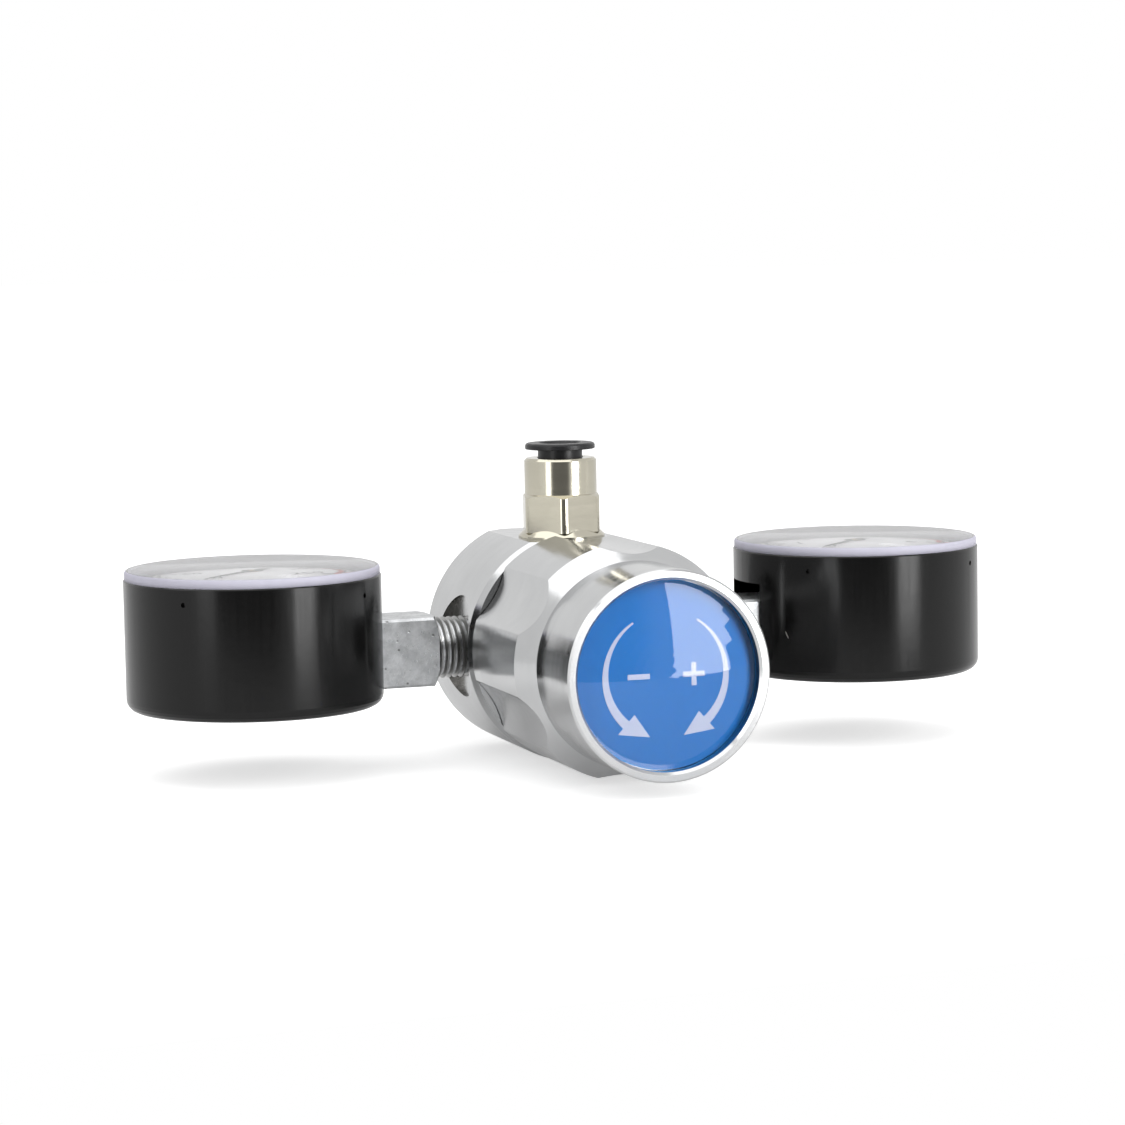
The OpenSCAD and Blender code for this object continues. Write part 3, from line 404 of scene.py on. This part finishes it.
body_steel = turned_metal("turned_body_steel", (0.56, 0.565, 0.57), (0.50, 0.505, 0.51), 0.2)
# The port recesses take a much darker steel than the bar: painted shade in the recesses.
recess_painted_shade_steel = turned_metal("recess_painted_shade_steel", (0.26, 0.255, 0.24), (0.17, 0.165, 0.155), 0.3)
body_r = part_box("regulator_body")[1].x
taper_rear_r = 17.55 * mm
taper_rear_y = -9 * mm
taper_slope = 0.4
cutter_r = 19.2 * mm
cutter_rear_y = -8.9 * mm
flat_z = 16.99 * mm
cutter_length = 2
body = merged_copy("regulator_body", "milled_body")
rear_cone = bmesh.new()
inner_corner = (taper_rear_r - (cutter_rear_y - taper_rear_y) * taper_slope, cutter_rear_y)
front_corner = (cutter_r, taper_rear_y - (cutter_r - taper_rear_r) / taper_slope)
outer_corner = (cutter_r, cutter_rear_y)
section = [rear_cone.verts.new((*corner, 0)) for corner in (inner_corner, outer_corner, front_corner)]
outline = [rear_cone.edges.new((section[i], section[i - 1])) for i in range(3)]
bmesh.ops.spin(rear_cone, geom=[*section, *outline], cent=(0, 0, 0), axis=(0, 1, 0), angle=2 * math.pi,
               steps=144, use_merge=True, use_duplicate=False)
bmesh.ops.recalc_face_normals(rear_cone, faces=rear_cone.faces)
cut_away(body, new_piece("rear_cone", rear_cone))
above_flat = bmesh.new()
bmesh.ops.create_cube(above_flat, size=1)
bmesh.ops.scale(above_flat, vec=(body_r, cutter_length, body_r), verts=above_flat.verts)
bmesh.ops.translate(above_flat, vec=(0, 0, flat_z + body_r / 2), verts=above_flat.verts)
cut_away(body, new_piece("above_flat", above_flat))

# The faces that the lathe left on the outside are shaded as true rounds, the others as flats.
turned_from_r = 17.45 * mm
least_tilt = 0.1
most_off_radius = math.radians(6)
body.data.shade_smooth()
shading = []
for face in body.data.polygons:
    tilt = Vector((face.normal.x, 0, face.normal.z))
    for index in face.vertices:
        corner = body.data.vertices[index].co
        out = Vector((corner.x, 0, corner.z))
        turned = (out.length > turned_from_r and tilt.length > least_tilt
                  and tilt.angle(out) < most_off_radius)
        rounded = out.normalized() * tilt.length + Vector((0, face.normal.y, 0))
        shading.append(rounded if turned else face.normal)
body.data.normals_split_custom_set(shading)
refinish(body, body_steel, recess_painted_shade_steel)
port_y = middle("left_stem").y
port_floor_x = 16.5 * mm
port_r = 8.25 * mm
# The faces inside the port recesses take that darker steel, the painted shade.
for face in body.data.polygons:
    if abs(face.center.x) > port_floor_x and math.hypot(face.center.y - port_y, face.center.z) < port_r:
        face.material_index = 1
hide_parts("regulator_body")
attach(body, "root")


# Inlet socket: turned steel with two spanner flats, screwed into the rear of the body. Its bore
# carries a 5/8 inch thread, 18 to the inch, cut here into a copy of the CAD socket.
def helix(root_r, crest_r, pitch, start, length, axis, cent, steps=48):
    """A closed ridge with a 60 degree profile, wound round an axis from start for a length."""
    axis = Vector(axis)
    out = axis.orthogonal().normalized()
    flank = math.radians(30)
    crest = pitch * 0.06
    widest_foot = pitch * 0.49
    foot = min(abs(crest_r - root_r) * math.tan(flank) + crest, widest_foot)
    profile = [(root_r, -foot), (crest_r, -crest), (crest_r, crest), (root_r, foot)]
    bm = bmesh.new()
    verts = [bm.verts.new(Vector(cent) + axis * (start + along) + out * r) for r, along in profile]
    first = bm.faces.new(verts)
    turns = length / pitch
    count = max(3, round(turns * steps))
    bmesh.ops.spin(bm, geom=[first, *first.edges, *first.verts], cent=cent, axis=axis,
                   dvec=axis * (length / count), angle=turns * 2 * math.pi, steps=count,
                   use_merge=False, use_duplicate=False)
    bmesh.ops.recalc_face_normals(bm, faces=bm.faces)
    return bm


inlet_pitch = 25.4 / 18 * mm
inlet_minor_r = 7.15 * mm
inlet_major_r = 7.94 * mm
inlet_thread_len = 8.5 * mm
groove_foot_r = inlet_minor_r - 0.1 * mm
socket_steel = turned_metal("turned_socket_steel", (0.66, 0.66, 0.65), (0.58, 0.58, 0.57), 0.28)
socket = merged_copy("inlet_socket", "threaded_socket")
groove = helix(groove_foot_r, inlet_major_r, inlet_pitch, inlet_pitch / 2, inlet_thread_len,
               (0, -1, 0), (0, 0, 0))
cut_away(socket, new_piece("groove", groove))
smooth(socket, 25)
refinish(socket, socket_steel)
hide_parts("inlet_socket")
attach(socket, "root")


# Inlet seal, piercing pin and filter: a moulded rubber ring on the inlet's floor, a hardened and
# ground hollow pin, and a disc of sintered bronze that the pin's flange holds in.
def rubber(name):
    """Moulded black rubber, dull and slightly dusty."""
    material, tree, shader = finish(name, {"Specular IOR Level": 0.35})
    place = piece_coordinates(tree)
    colour_between(tree, shader, noise(tree, place, 1.5 * mm), (0.012, 0.012, 0.013), (0.03, 0.03, 0.031))
    roughen(tree, shader, noise(tree, place, 0.8 * mm), 0.5, 0.75)
    relief(tree, shader, noise(tree, place, 0.15 * mm, 4), 0.01 * mm)
    return material


def sintered(name):
    """Bronze grains pressed together: round grains, with painted shade in the gaps between them."""
    material, tree, shader = finish(name, {"Metallic": 1.0, "Roughness": 0.45})
    grains = tree.nodes.new("ShaderNodeTexVoronoi")
    grains.inputs["Scale"].default_value = 1 / (0.25 * mm)
    tree.links.new(piece_coordinates(tree), grains.inputs["Vector"])
    depth = spread(tree, grains.outputs["Distance"], 1, 0, 0.1, 0.75)
    # Darker towards the gaps between the grains: painted shade.
    colour_between(tree, shader, depth, (0.10, 0.055, 0.025), (0.62, 0.42, 0.22))
    relief(tree, shader, depth, 0.05 * mm)
    return material


dark_rubber = rubber("moulded_rubber")
ground_steel = turned_metal("ground_pin_steel", (0.60, 0.60, 0.61), (0.50, 0.50, 0.52), 0.18,
                            groove=0.0006 * mm)
dress(dark_rubber, "inlet_seal", "piston_oring")
dress(ground_steel, "piercing_pin", "spindle")
dress(sintered("sintered_bronze"), "inlet_filter")


# Valve seat, poppet and piston: a nylon seat pressed into the body, and a brass poppet and piston
# turned from bar, which the gas and the springs push to and fro.
def nylon(name):
    """Natural nylon: off-white, waxy and slightly see-through."""
    material, tree, shader = finish(name, {"Subsurface Weight": 0.25, "Subsurface Scale": 0.001})
    place = piece_coordinates(tree)
    colour_between(tree, shader, noise(tree, place, 2 * mm), (0.78, 0.76, 0.68), (0.84, 0.83, 0.77))
    roughen(tree, shader, noise(tree, place, 0.6 * mm), 0.35, 0.5)
    relief(tree, shader, noise(tree, place, 0.2 * mm), 0.004 * mm)
    return material


turned_brass = turned_metal("turned_brass", (0.80, 0.58, 0.29), (0.66, 0.45, 0.21), 0.24)
dress(nylon("natural_nylon"), "valve_seat")
dress(turned_brass, "poppet", "piston", "spring_carriage", "thrust_washer")


# The two coil springs: drawn wire, coiled and tempered, darker than the parts round them. Each
# stands against its rear end, and the carriage or the poppet slides towards it.
def drawn_wire(name):
    """Tempered spring wire: a brown-grey oxide over bright steel, worn through in places."""
    material, tree, shader = finish(name, {"Metallic": 1.0})
    place = piece_coordinates(tree)
    worn = spread(tree, noise(tree, place, 1.2 * mm, 4), 0, 1, 0.4, 0.65)
    colour_between(tree, shader, worn, (0.30, 0.27, 0.24), (0.52, 0.51, 0.50))
    roughen(tree, shader, noise(tree, place, 0.3 * mm), 0.28, 0.42)
    relief(tree, shader, noise(tree, place, 0.12 * mm), 0.004 * mm)
    return material


tempered_wire = drawn_wire("tempered_wire")
carriage_travel = 6.75 * mm
poppet_travel = 0.8 * mm
for node, coil_name, joint, travel in (("range_spring", "range_coil", "carriage_slide", carriage_travel),
                                       ("poppet_spring", "poppet_coil", "poppet_lift", poppet_travel)):
    coil = merged_copy(node, coil_name)
    smooth(coil, 50)
    refinish(coil, tempered_wire)
    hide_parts(node)
    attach(coil, "root")
    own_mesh(coil)


# Bonnet and knob screw: the bonnet screws into the body and guides the carriage, and the screw
# holds the knob. Both are turned and zinc plated, so a little bluer and cloudier than bare steel.
zinc_turned = turned_metal("zinc_plated_turning", (0.62, 0.64, 0.67), (0.50, 0.52, 0.55), 0.32)
dress(zinc_turned, "bonnet", "knob_screw")


# Knob: a steel cup with six milled flutes, a polished bevel and a plain barrel, all with fine
# rings round the axis. It turns on the spindle's square.
knob_steel = turned_metal("satin_knob_steel", (0.57, 0.575, 0.58), (0.52, 0.525, 0.53), 0.17,
                          groove=0.0006 * mm)
dress(knob_steel, "knob_shell")


# Label: a printed blue disc in the knob's front pocket. The print is a pair of curved arrows with
# a plus and a minus sign, and clear resin is domed over it.
def label_paint(name, colour, shade):
    """Flat ink on film, with a very fine grain."""
    material, tree, shader = finish(name, {"Roughness": 0.45})
    place = piece_coordinates(tree)
    colour_between(tree, shader, noise(tree, place, 0.5 * mm, 4), colour, shade)
    relief(tree, shader, noise(tree, place, 0.1 * mm), 0.002 * mm)
    return material


label_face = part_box("label_disc")[0].y
label_r = (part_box("label_disc")[1].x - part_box("label_disc")[0].x) / 2
print_t = 0.04 * mm
plus_t = print_t * 1.02


def flat_bar(bm, centre, width, height, thick):
    """A plain bar lying in the XZ plane."""
    bar = bmesh.ops.create_cube(bm, size=1)["verts"]
    bmesh.ops.scale(bm, vec=(width, thick, height), verts=bar)
    bmesh.ops.translate(bm, vec=centre, verts=bar)


def curved_arrow(bm, r, width, start, end, head):
    """A stroke along an arc that widens towards its arrow head, in the XZ plane round (0, 0)."""
    tail = width * 0.1
    swell = 4
    head_long = head * 1.1
    tip = end + math.copysign(head_long / r, end - start)
    ends = [bm.verts.new((x, 0, 0)) for x in (r - tail, r + tail)]
    bmesh.ops.rotate(bm, verts=ends, cent=(0, 0, 0), matrix=Matrix.Rotation(-start, 3, "Y"))
    bmesh.ops.spin(bm, geom=[*ends, bm.edges.new(ends)], cent=(0, 0, 0), axis=(0, -1, 0),
                   angle=end - start, steps=40, use_merge=False, use_duplicate=False)
    for vert in [vert for vert in bm.verts if not vert.tag]:
        angle = math.atan2(vert.co.z, vert.co.x)
        share = ((angle - start + math.pi) % (2 * math.pi) - math.pi) / (end - start)
        from_middle = math.hypot(vert.co.x, vert.co.z) - r
        vert.co *= (r + from_middle * (1 + swell * max(0, share))) / (r + from_middle)
    head_corners = [bm.verts.new((out * math.cos(angle), 0, out * math.sin(angle)))
                    for angle, out in ((tip, r), (end, r - head / 2), (end, r + head / 2))]
    bm.faces.new(head_corners)
    for vert in bm.verts:
        vert.tag = True


arrow_r = 0.66 * label_r
arrow_w = 0.10 * label_r
arrow_head = 0.27 * label_r
arrow_start = math.radians(58)
arrow_end = math.radians(-48)
sign_w = 0.24 * label_r
sign_stroke = 0.055 * label_r
plus_x = 0.3 * label_r
label_bm = bmesh.new()
curved_arrow(label_bm, arrow_r, arrow_w, arrow_start, arrow_end, arrow_head)
curved_arrow(label_bm, arrow_r, arrow_w, math.pi - arrow_start, math.pi - arrow_end, arrow_head)
bmesh.ops.translate(label_bm, vec=(0, label_face - print_t, 0), verts=label_bm.verts)
for x in (plus_x, -plus_x):
    flat_bar(label_bm, (x, label_face - print_t / 2, 0), sign_w, sign_stroke, print_t)
flat_bar(label_bm, (plus_x, label_face - print_t / 2, 0), sign_stroke, sign_w, plus_t)
pale_ink = label_paint("pale_ink", (0.46, 0.50, 0.62), (0.42, 0.46, 0.59))
label_print = new_piece("label_print", label_bm, pale_ink)
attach(label_print, "knob")
dress(label_paint("blue_ink", (0.003, 0.30, 0.77), (0.004, 0.312, 0.80)), "label_disc")


def clear_moulding(name, tint, index, rough):
    """Clear plastic or resin with a faint cloud in its gloss."""
    values = {"Base Color": (*tint, 1), "Transmission Weight": 1.0, "IOR": index}
    material, tree, shader = finish(name, values)
    cloud = noise(tree, piece_coordinates(tree), 4 * mm)
    roughen(tree, shader, cloud, rough * 0.92, rough * 1.08)
    return material, tree, shader


# The resin lies on the ink, so it casts no shadow there: the lamps' light passes straight through.
resin, tree, shader = clear_moulding("domed_resin", (0.97, 0.98, 1.0), 1.5, 0.02)
path = tree.nodes.new("ShaderNodeLightPath")
through = tree.nodes.new("ShaderNodeBsdfTransparent")
swap = tree.nodes.new("ShaderNodeMixShader")
tree.links.new(path.outputs["Is Shadow Ray"], swap.inputs[0])
tree.links.new(shader.outputs[0], swap.inputs[1])
tree.links.new(through.outputs[0], swap.inputs[2])
tree.links.new(swap.outputs[0], tree.nodes["Material Output"].inputs["Surface"])
dress(resin, "label_dome")


# Outlet fitting: nickel-plated brass with a hexagon, whose plating is warm and bright; in it are
# a rubber seal, a slotted spring-steel ring and the black nylon release ring.
fitting_centre = (0, middle("fitting_body").y, 0)
nickel = turned_metal("nickel_plating", (0.56, 0.53, 0.44), (0.50, 0.475, 0.39), 0.14,
                      centre=fitting_centre, turn=(0, 0, 0), groove=0.0005 * mm)
dress(nickel, "fitting_body")
dress(dark_rubber, "tube_oring")
dress(ground_steel, "grab_ring")


def moulded_black(name):
    """Black moulded nylon, satin, with a fine skin."""
    values = {"Base Color": (0.010, 0.010, 0.011, 1), "Specular IOR Level": 0.35}
    material, tree, shader = finish(name, values)
    place = piece_coordinates(tree)
    roughen(tree, shader, noise(tree, place, 0.9 * mm), 0.28, 0.42)
    relief(tree, shader, noise(tree, place, 0.12 * mm, 4), 0.006 * mm)
    return material


dress(moulded_black("moulded_nylon_ring"), "release_ring")


# Gauges: each has a black enamelled steel case, a clear lens, a printed dial, a zinc-plated stem
# with a fine thread, and a brass movement. The left one reads the cylinder, the right the outlet.
def enamel(name):
    """Gloss black enamel over drawn steel: faint drawing lines up the wall and a soft orange peel."""
    values = {"Base Color": (0.002, 0.002, 0.002, 1), "Specular IOR Level": 0.28}
    material, tree, shader = finish(name, values)
    place = piece_coordinates(tree)
    upright = piece_coordinates(tree, scale=(1, 1, 14))
    roughen(tree, shader, noise(tree, upright, 0.7 * mm, 4), 0.16, 0.22)
    relief(tree, shader, noise(tree, place, 1.6 * mm, 2), 0.006 * mm,
           relief(tree, shader, noise(tree, upright, 0.4 * mm, 2), 0.002 * mm))
    return material


def scuffed_zinc(name, centre):
    """Zinc plate on drawn square bar: blotchy, with marks across it and small pits."""
    material, tree, shader = finish(name, {"Metallic": 1.0})
    place = piece_coordinates(tree, centre)
    across = piece_coordinates(tree, centre, turn=(0, 0.35, 0), scale=(0.35, 1, 3))
    blotch = noise(tree, place, 2.2 * mm, 5, 0.65)
    marks = noise(tree, across, 0.5 * mm, 4, 0.6)
    blotches = spread(tree, blotch, 0, 1, 0.38, 0.62)
    plate = blend_colours(tree, blotches, (0.45, 0.46, 0.47), (0.64, 0.65, 0.66))
    roughen(tree, shader, marks, 0.22, 0.48)
    pits = tree.nodes.new("ShaderNodeTexVoronoi")
    pits.inputs["Scale"].default_value = 1 / (2.0 * mm)
    tree.links.new(place, pits.inputs["Vector"])
    hollow = spread(tree, pits.outputs["Distance"], 0, 1, 0.05, 0.14)
    colour_between(tree, shader, hollow, (0.16, 0.16, 0.16), plate)
    relief(tree, shader, marks, 0.02 * mm, relief(tree, shader, hollow, 0.06 * mm))
    return material


def movement_metal(name):
    """Stamped brass of the movement, lightly tarnished."""
    material, tree, shader = finish(name, {"Metallic": 1.0})
    place = piece_coordinates(tree)
    colour_between(tree, shader, noise(tree, place, 3 * mm, 4), (0.80, 0.60, 0.31), (0.62, 0.42, 0.20))
    roughen(tree, shader, noise(tree, place, 0.7 * mm), 0.25, 0.4)
    relief(tree, shader, noise(tree, place, 0.2 * mm), 0.004 * mm)
    return material


def dial_paint(name, colour, shade):
    """Matt paint on the dial, with a fine mottle."""
    material, tree, shader = finish(name, {"Roughness": 0.55})
    place = piece_coordinates(tree)
    colour_between(tree, shader, noise(tree, place, 1.2 * mm, 4), colour, shade)
    relief(tree, shader, noise(tree, place, 0.15 * mm, 3), 0.003 * mm)
    return material


case_enamel = enamel("black_enamel")
movement_brass = movement_metal("stamped_brass")
white_paint = dial_paint("dial_white_paint", (0.86, 0.86, 0.85), (0.82, 0.82, 0.80))
black_print = dial_paint("dial_black_ink", (0.012, 0.012, 0.013), (0.02, 0.02, 0.021))
red_print = dial_paint("dial_red_ink", (0.55, 0.02, 0.015), (0.50, 0.03, 0.02))
lens_plastic = clear_moulding("clear_lens", (0.97, 0.97, 0.99), 1.49, 0.1)[0]
# The lens's side wall and steps take an opaque pale lavender paint, not the clear plastic.
lens_edge = dial_paint("pale_lens_edge_paint", (0.49, 0.48, 0.56), (0.43, 0.42, 0.50))
pale_edge_band = 1.2 * mm
lens_top_facing = 0.95
thread_root_r = 4.42 * mm
thread_crest_r = 4.94 * mm
thread_pitch = 1.0 * mm
thread_inner_end = 15.9 * mm
thread_outer_end = 22.6 * mm


def dial_arc(bm, inner_r, outer_r, height, start, sweep, steps):
    """A flat arc of print, in the XY plane round (0, 0)."""
    ends = [bm.verts.new((r, 0, height)) for r in (inner_r, outer_r)]
    bmesh.ops.rotate(bm, verts=ends, cent=(0, 0, 0), matrix=Matrix.Rotation(start, 3, "Z"))
    bmesh.ops.spin(bm, geom=[*ends, bm.edges.new(ends)], cent=(0, 0, 0), axis=(0, 0, 1), angle=sweep,
                   steps=steps, use_merge=False, use_duplicate=False)


def dial_marks(name, centre, top, r, numbers, red_from):
    """Ticks, plain numbers and a coloured arc on a dial, over a 270 degree sweep."""
    sweep = math.radians(270)
    start = math.radians(225)
    ink = 0.03 * mm
    arc_inner_r = 0.925 * r
    arc_outer_r = 0.945 * r
    tick_end_r = 0.92 * r
    band_inner_r = 0.86 * r
    band_z = ink * 0.6
    number_size = 0.22 * r
    number_r = 0.60 * r
    big = len(numbers) - 1
    small = 5
    bm = bmesh.new()
    for step in range(big * small + 1):
        main = step % small == 0
        long = 0.16 * r if main else 0.09 * r
        wide = 0.035 * r if main else 0.016 * r
        tick = bmesh.ops.create_cube(bm, size=1)["verts"]
        bmesh.ops.scale(bm, vec=(long, wide, ink), verts=tick)
        bmesh.ops.translate(bm, vec=(tick_end_r - long / 2, 0, ink / 2), verts=tick)
        bmesh.ops.rotate(bm, verts=tick, cent=(0, 0, 0),
                         matrix=Matrix.Rotation(start - sweep * step / (big * small), 3, "Z"))
    dial_arc(bm, arc_inner_r, arc_outer_r, ink, start - sweep, sweep, 90)
    bmesh.ops.translate(bm, vec=(*centre, top), verts=bm.verts)
    marks = new_piece(name + "_ticks", bm, black_print)
    bm = bmesh.new()
    for step, number in enumerate(numbers):
        curve = bpy.data.curves.new(name + "_number", "FONT")
        curve.body = str(number)
        curve.size = number_size
        curve.align_x = "CENTER"
        curve.align_y = "CENTER"
        curve.extrude = ink / 2
        writing = bpy.data.objects.new(name + "_number", curve)
        bpy.context.scene.collection.objects.link(writing)
        bpy.context.view_layer.update()
        mesh = bpy.data.meshes.new_from_object(writing.evaluated_get(bpy.context.evaluated_depsgraph_get()))
        angle = start - sweep * step / big
        mesh.transform(Matrix.Translation((centre[0] + number_r * math.cos(angle),
                                           centre[1] + number_r * math.sin(angle), top + ink / 2)))
        bm.from_mesh(mesh)
        bpy.data.objects.remove(writing)
    printed = new_piece(name + "_numbers", bm, black_print)
    bm = bmesh.new()
    dial_arc(bm, band_inner_r, tick_end_r, band_z, start - sweep, sweep * (1 - red_from), 30)
    bmesh.ops.translate(bm, vec=(*centre, top), verts=bm.verts)
    red = new_piece(name + "_red_band", bm, red_print)
    for piece in (marks, printed, red):
        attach(piece, "root")


for side, sign_x, numbers, red_from in (("left", -1, (0, 50, 100, 150, 200, 250), 0.8),
                                        ("right", 1, (0, 1, 2, 3, 4, 5, 6), 0.75)):
    dial_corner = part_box(side + "_dial")[1]
    axis = middle(side + "_dial")
    dress(case_enamel, side + "_case")
    lens = merged_copy(side + "_lens", side + "_clear_lens")
    refinish(lens, lens_plastic, lens_edge)
    lens_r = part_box(side + "_lens")[1].x - middle(side + "_lens").x
    for face in lens.data.polygons:
        out = math.hypot(face.center.x - axis.x, face.center.y - axis.y)
        if out > lens_r - pale_edge_band and face.normal.z < lens_top_facing:
            face.material_index = 1
    smooth(lens, 35)
    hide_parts(side + "_lens")
    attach(lens, "root")
    dress(white_paint, side + "_dial")
    dress(movement_brass, *(side + part for part in (
        "_bourdon_tube", "_movement_frame", "_sector_gear", "_link", "_pinion")))
    dress(black_print, side + "_pointer")
    dial_marks(side + "_dial", axis.xy, dial_corner.z, dial_corner.x - axis.x, numbers, red_from)
    stem_x, stem_y = middle(side + "_stem").xy
    stem_zinc = scuffed_zinc(side + "_stem_zinc", (stem_x, stem_y, 0))
    dress(stem_zinc, side + "_stem")
    ridge = helix(thread_root_r, thread_crest_r, thread_pitch, thread_inner_end,
                  thread_outer_end - thread_inner_end, (sign_x, 0, 0), (0, stem_y, 0))
    cut_zinc = turned_metal(side + "_cut_thread", (0.40, 0.40, 0.395), (0.27, 0.27, 0.265), 0.3,
                            centre=(0, stem_y, 0), turn=(0, math.pi / 2, 0))
    thread = new_piece(side + "_stem_thread", ridge, cut_zinc)
    smooth(thread, 20)
    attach(thread, "root")


# A scratch in the right case's enamel, down to the bare steel: a thin bright sliver on the wall,
# laid along it between two rays of the camera, and sunk in by half its thickness.
def carrier_tree(names):
    """A BVH tree of pieces as finished and placed, its corners and the piece of each triangle."""
    graph = bpy.context.evaluated_depsgraph_get()
    corners = []
    triangles = []
    owners = []
    for name in names:
        piece = bpy.data.objects[name].evaluated_get(graph)
        mesh = piece.to_mesh()
        mesh.calc_loop_triangles()
        base = len(corners)
        corners += [piece.matrix_world @ v.co for v in mesh.vertices]
        triangles += [[base + i for i in t.vertices] for t in mesh.loop_triangles]
        owners += [name] * len(mesh.loop_triangles)
        piece.to_mesh_clear()
    return BVHTree.FromPolygons(corners, triangles), corners, owners


def image_ray(x, y):
    """Start and direction of the camera's ray through a pixel of the photograph."""
    longer = max(W, H)
    local = Vector((x - W / 2 + camera_data.shift_x * longer, H / 2 - y + camera_data.shift_y * longer,
                    -longer * camera_data.lens / camera_data.sensor_width))
    return camera.matrix_world.translation, (camera.matrix_world.to_3x3() @ local).normalized()


def place_on(tree, x, y):
    """Where the ray through a pixel meets a piece; a miss takes the place nearest the ray."""
    eye, gaze = image_ray(x, y)
    place, normal = tree.ray_cast(eye, gaze)[:2]
    if place is None:
        reach = (camera_aim - eye).length
        nearest = 0.8
        farthest = 1.2
        along = [eye + gaze * reach * (nearest + (farthest - nearest) * step / 200) for step in range(201)]
        place, normal = min((tree.find_nearest(spot) for spot in along), key=lambda found: found[3])[:2]
    return place, normal


bpy.context.view_layer.update()
case_wall = carrier_tree(["right_case"])[0]
scratch_x, scratch_y = image_points["case_scratch"]
scratch_lean = 1.6
scratch_drop = 3.6
scratch_w = 0.16 * mm
scratch_t = 0.03 * mm
upper = place_on(case_wall, scratch_x - scratch_lean, scratch_y - scratch_drop)[0]
lower, wall_normal = place_on(case_wall, scratch_x + scratch_lean, scratch_y + scratch_drop)
run = (lower - upper).normalized()
scratch_bm = bmesh.new()
bmesh.ops.create_circle(scratch_bm, cap_ends=True, segments=24, radius=0.5)
sliver = bmesh.ops.extrude_face_region(scratch_bm, geom=scratch_bm.faces[:])["geom"]
raised = [corner for corner in sliver if isinstance(corner, bmesh.types.BMVert)]
bmesh.ops.translate(scratch_bm, vec=(0, 0, 1), verts=raised)
bmesh.ops.scale(scratch_bm, vec=((lower - upper).length, scratch_w, scratch_t), verts=scratch_bm.verts)
across = wall_normal.cross(run).normalized()
turned_to_wall = Matrix((run, across, run.cross(across))).transposed().to_4x4()
sunk = (upper + lower) / 2 - wall_normal * (scratch_t / 2)
scratch_bm.transform(Matrix.Translation(sunk) @ turned_to_wall)
bmesh.ops.recalc_face_normals(scratch_bm, faces=scratch_bm.faces)
bared_steel = turned_metal("bared_steel", (0.50, 0.48, 0.46), (0.36, 0.35, 0.33), 0.4)
scratch = new_piece("case_scratch", scratch_bm, bared_steel)
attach(scratch, "root")


# The box of the CAD model beside that of the finished regulator, and how far in x and y each thing
# shows from its image point. Both are written down.
def shown_at(place):
    """The pixel of the photograph at which a place shows."""
    local = camera.matrix_world.inverted() @ place
    longer = max(W, H)
    scale = longer * camera_data.lens / camera_data.sensor_width / -local.z
    return (W / 2 - camera_data.shift_x * longer + local.x * scale,
            H / 2 + camera_data.shift_y * longer - local.y * scale)


bpy.context.view_layer.update()
replaced = ("regulator_body", "inlet_socket", "range_spring", "poppet_spring", "left_lens", "right_lens")
shown_names = [piece.name for piece in bpy.data.objects
               if piece.type == "MESH" and piece is not floor and piece.name not in replaced]
regulator_tree, corners, owners = carrier_tree(shown_names)
pixels = [shown_at(corner) for corner in corners]
left_x = min(x for x, y in pixels)
right_x = max(x for x, y in pixels)
top_y = min(y for x, y in pixels)
bottom_y = max(y for x, y in pixels)
edges = {
    "object_left_x": left_x,
    "object_right_x": right_x,
    "object_top_y": top_y,
    "object_bottom_y": bottom_y,
}
ray_step = 1.5
showing = {}
for column in range(int((right_x - left_x) / ray_step) + 1):
    for row in range(int((bottom_y - top_y) / ray_step) + 1):
        x = left_x + column * ray_step
        y = top_y + row * ray_step
        index = regulator_tree.ray_cast(*image_ray(x, y))[2]
        if index is not None:
            low_x, high_x, low_y, high_y = showing.get(owners[index], (x, x, y, y))
            showing[owners[index]] = (min(low_x, x), max(high_x, x), min(low_y, y), max(high_y, y))
for name, point in image_points.items():
    if name in edges:
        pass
    elif name in showing:
        low_x, high_x, low_y, high_y = showing[name]
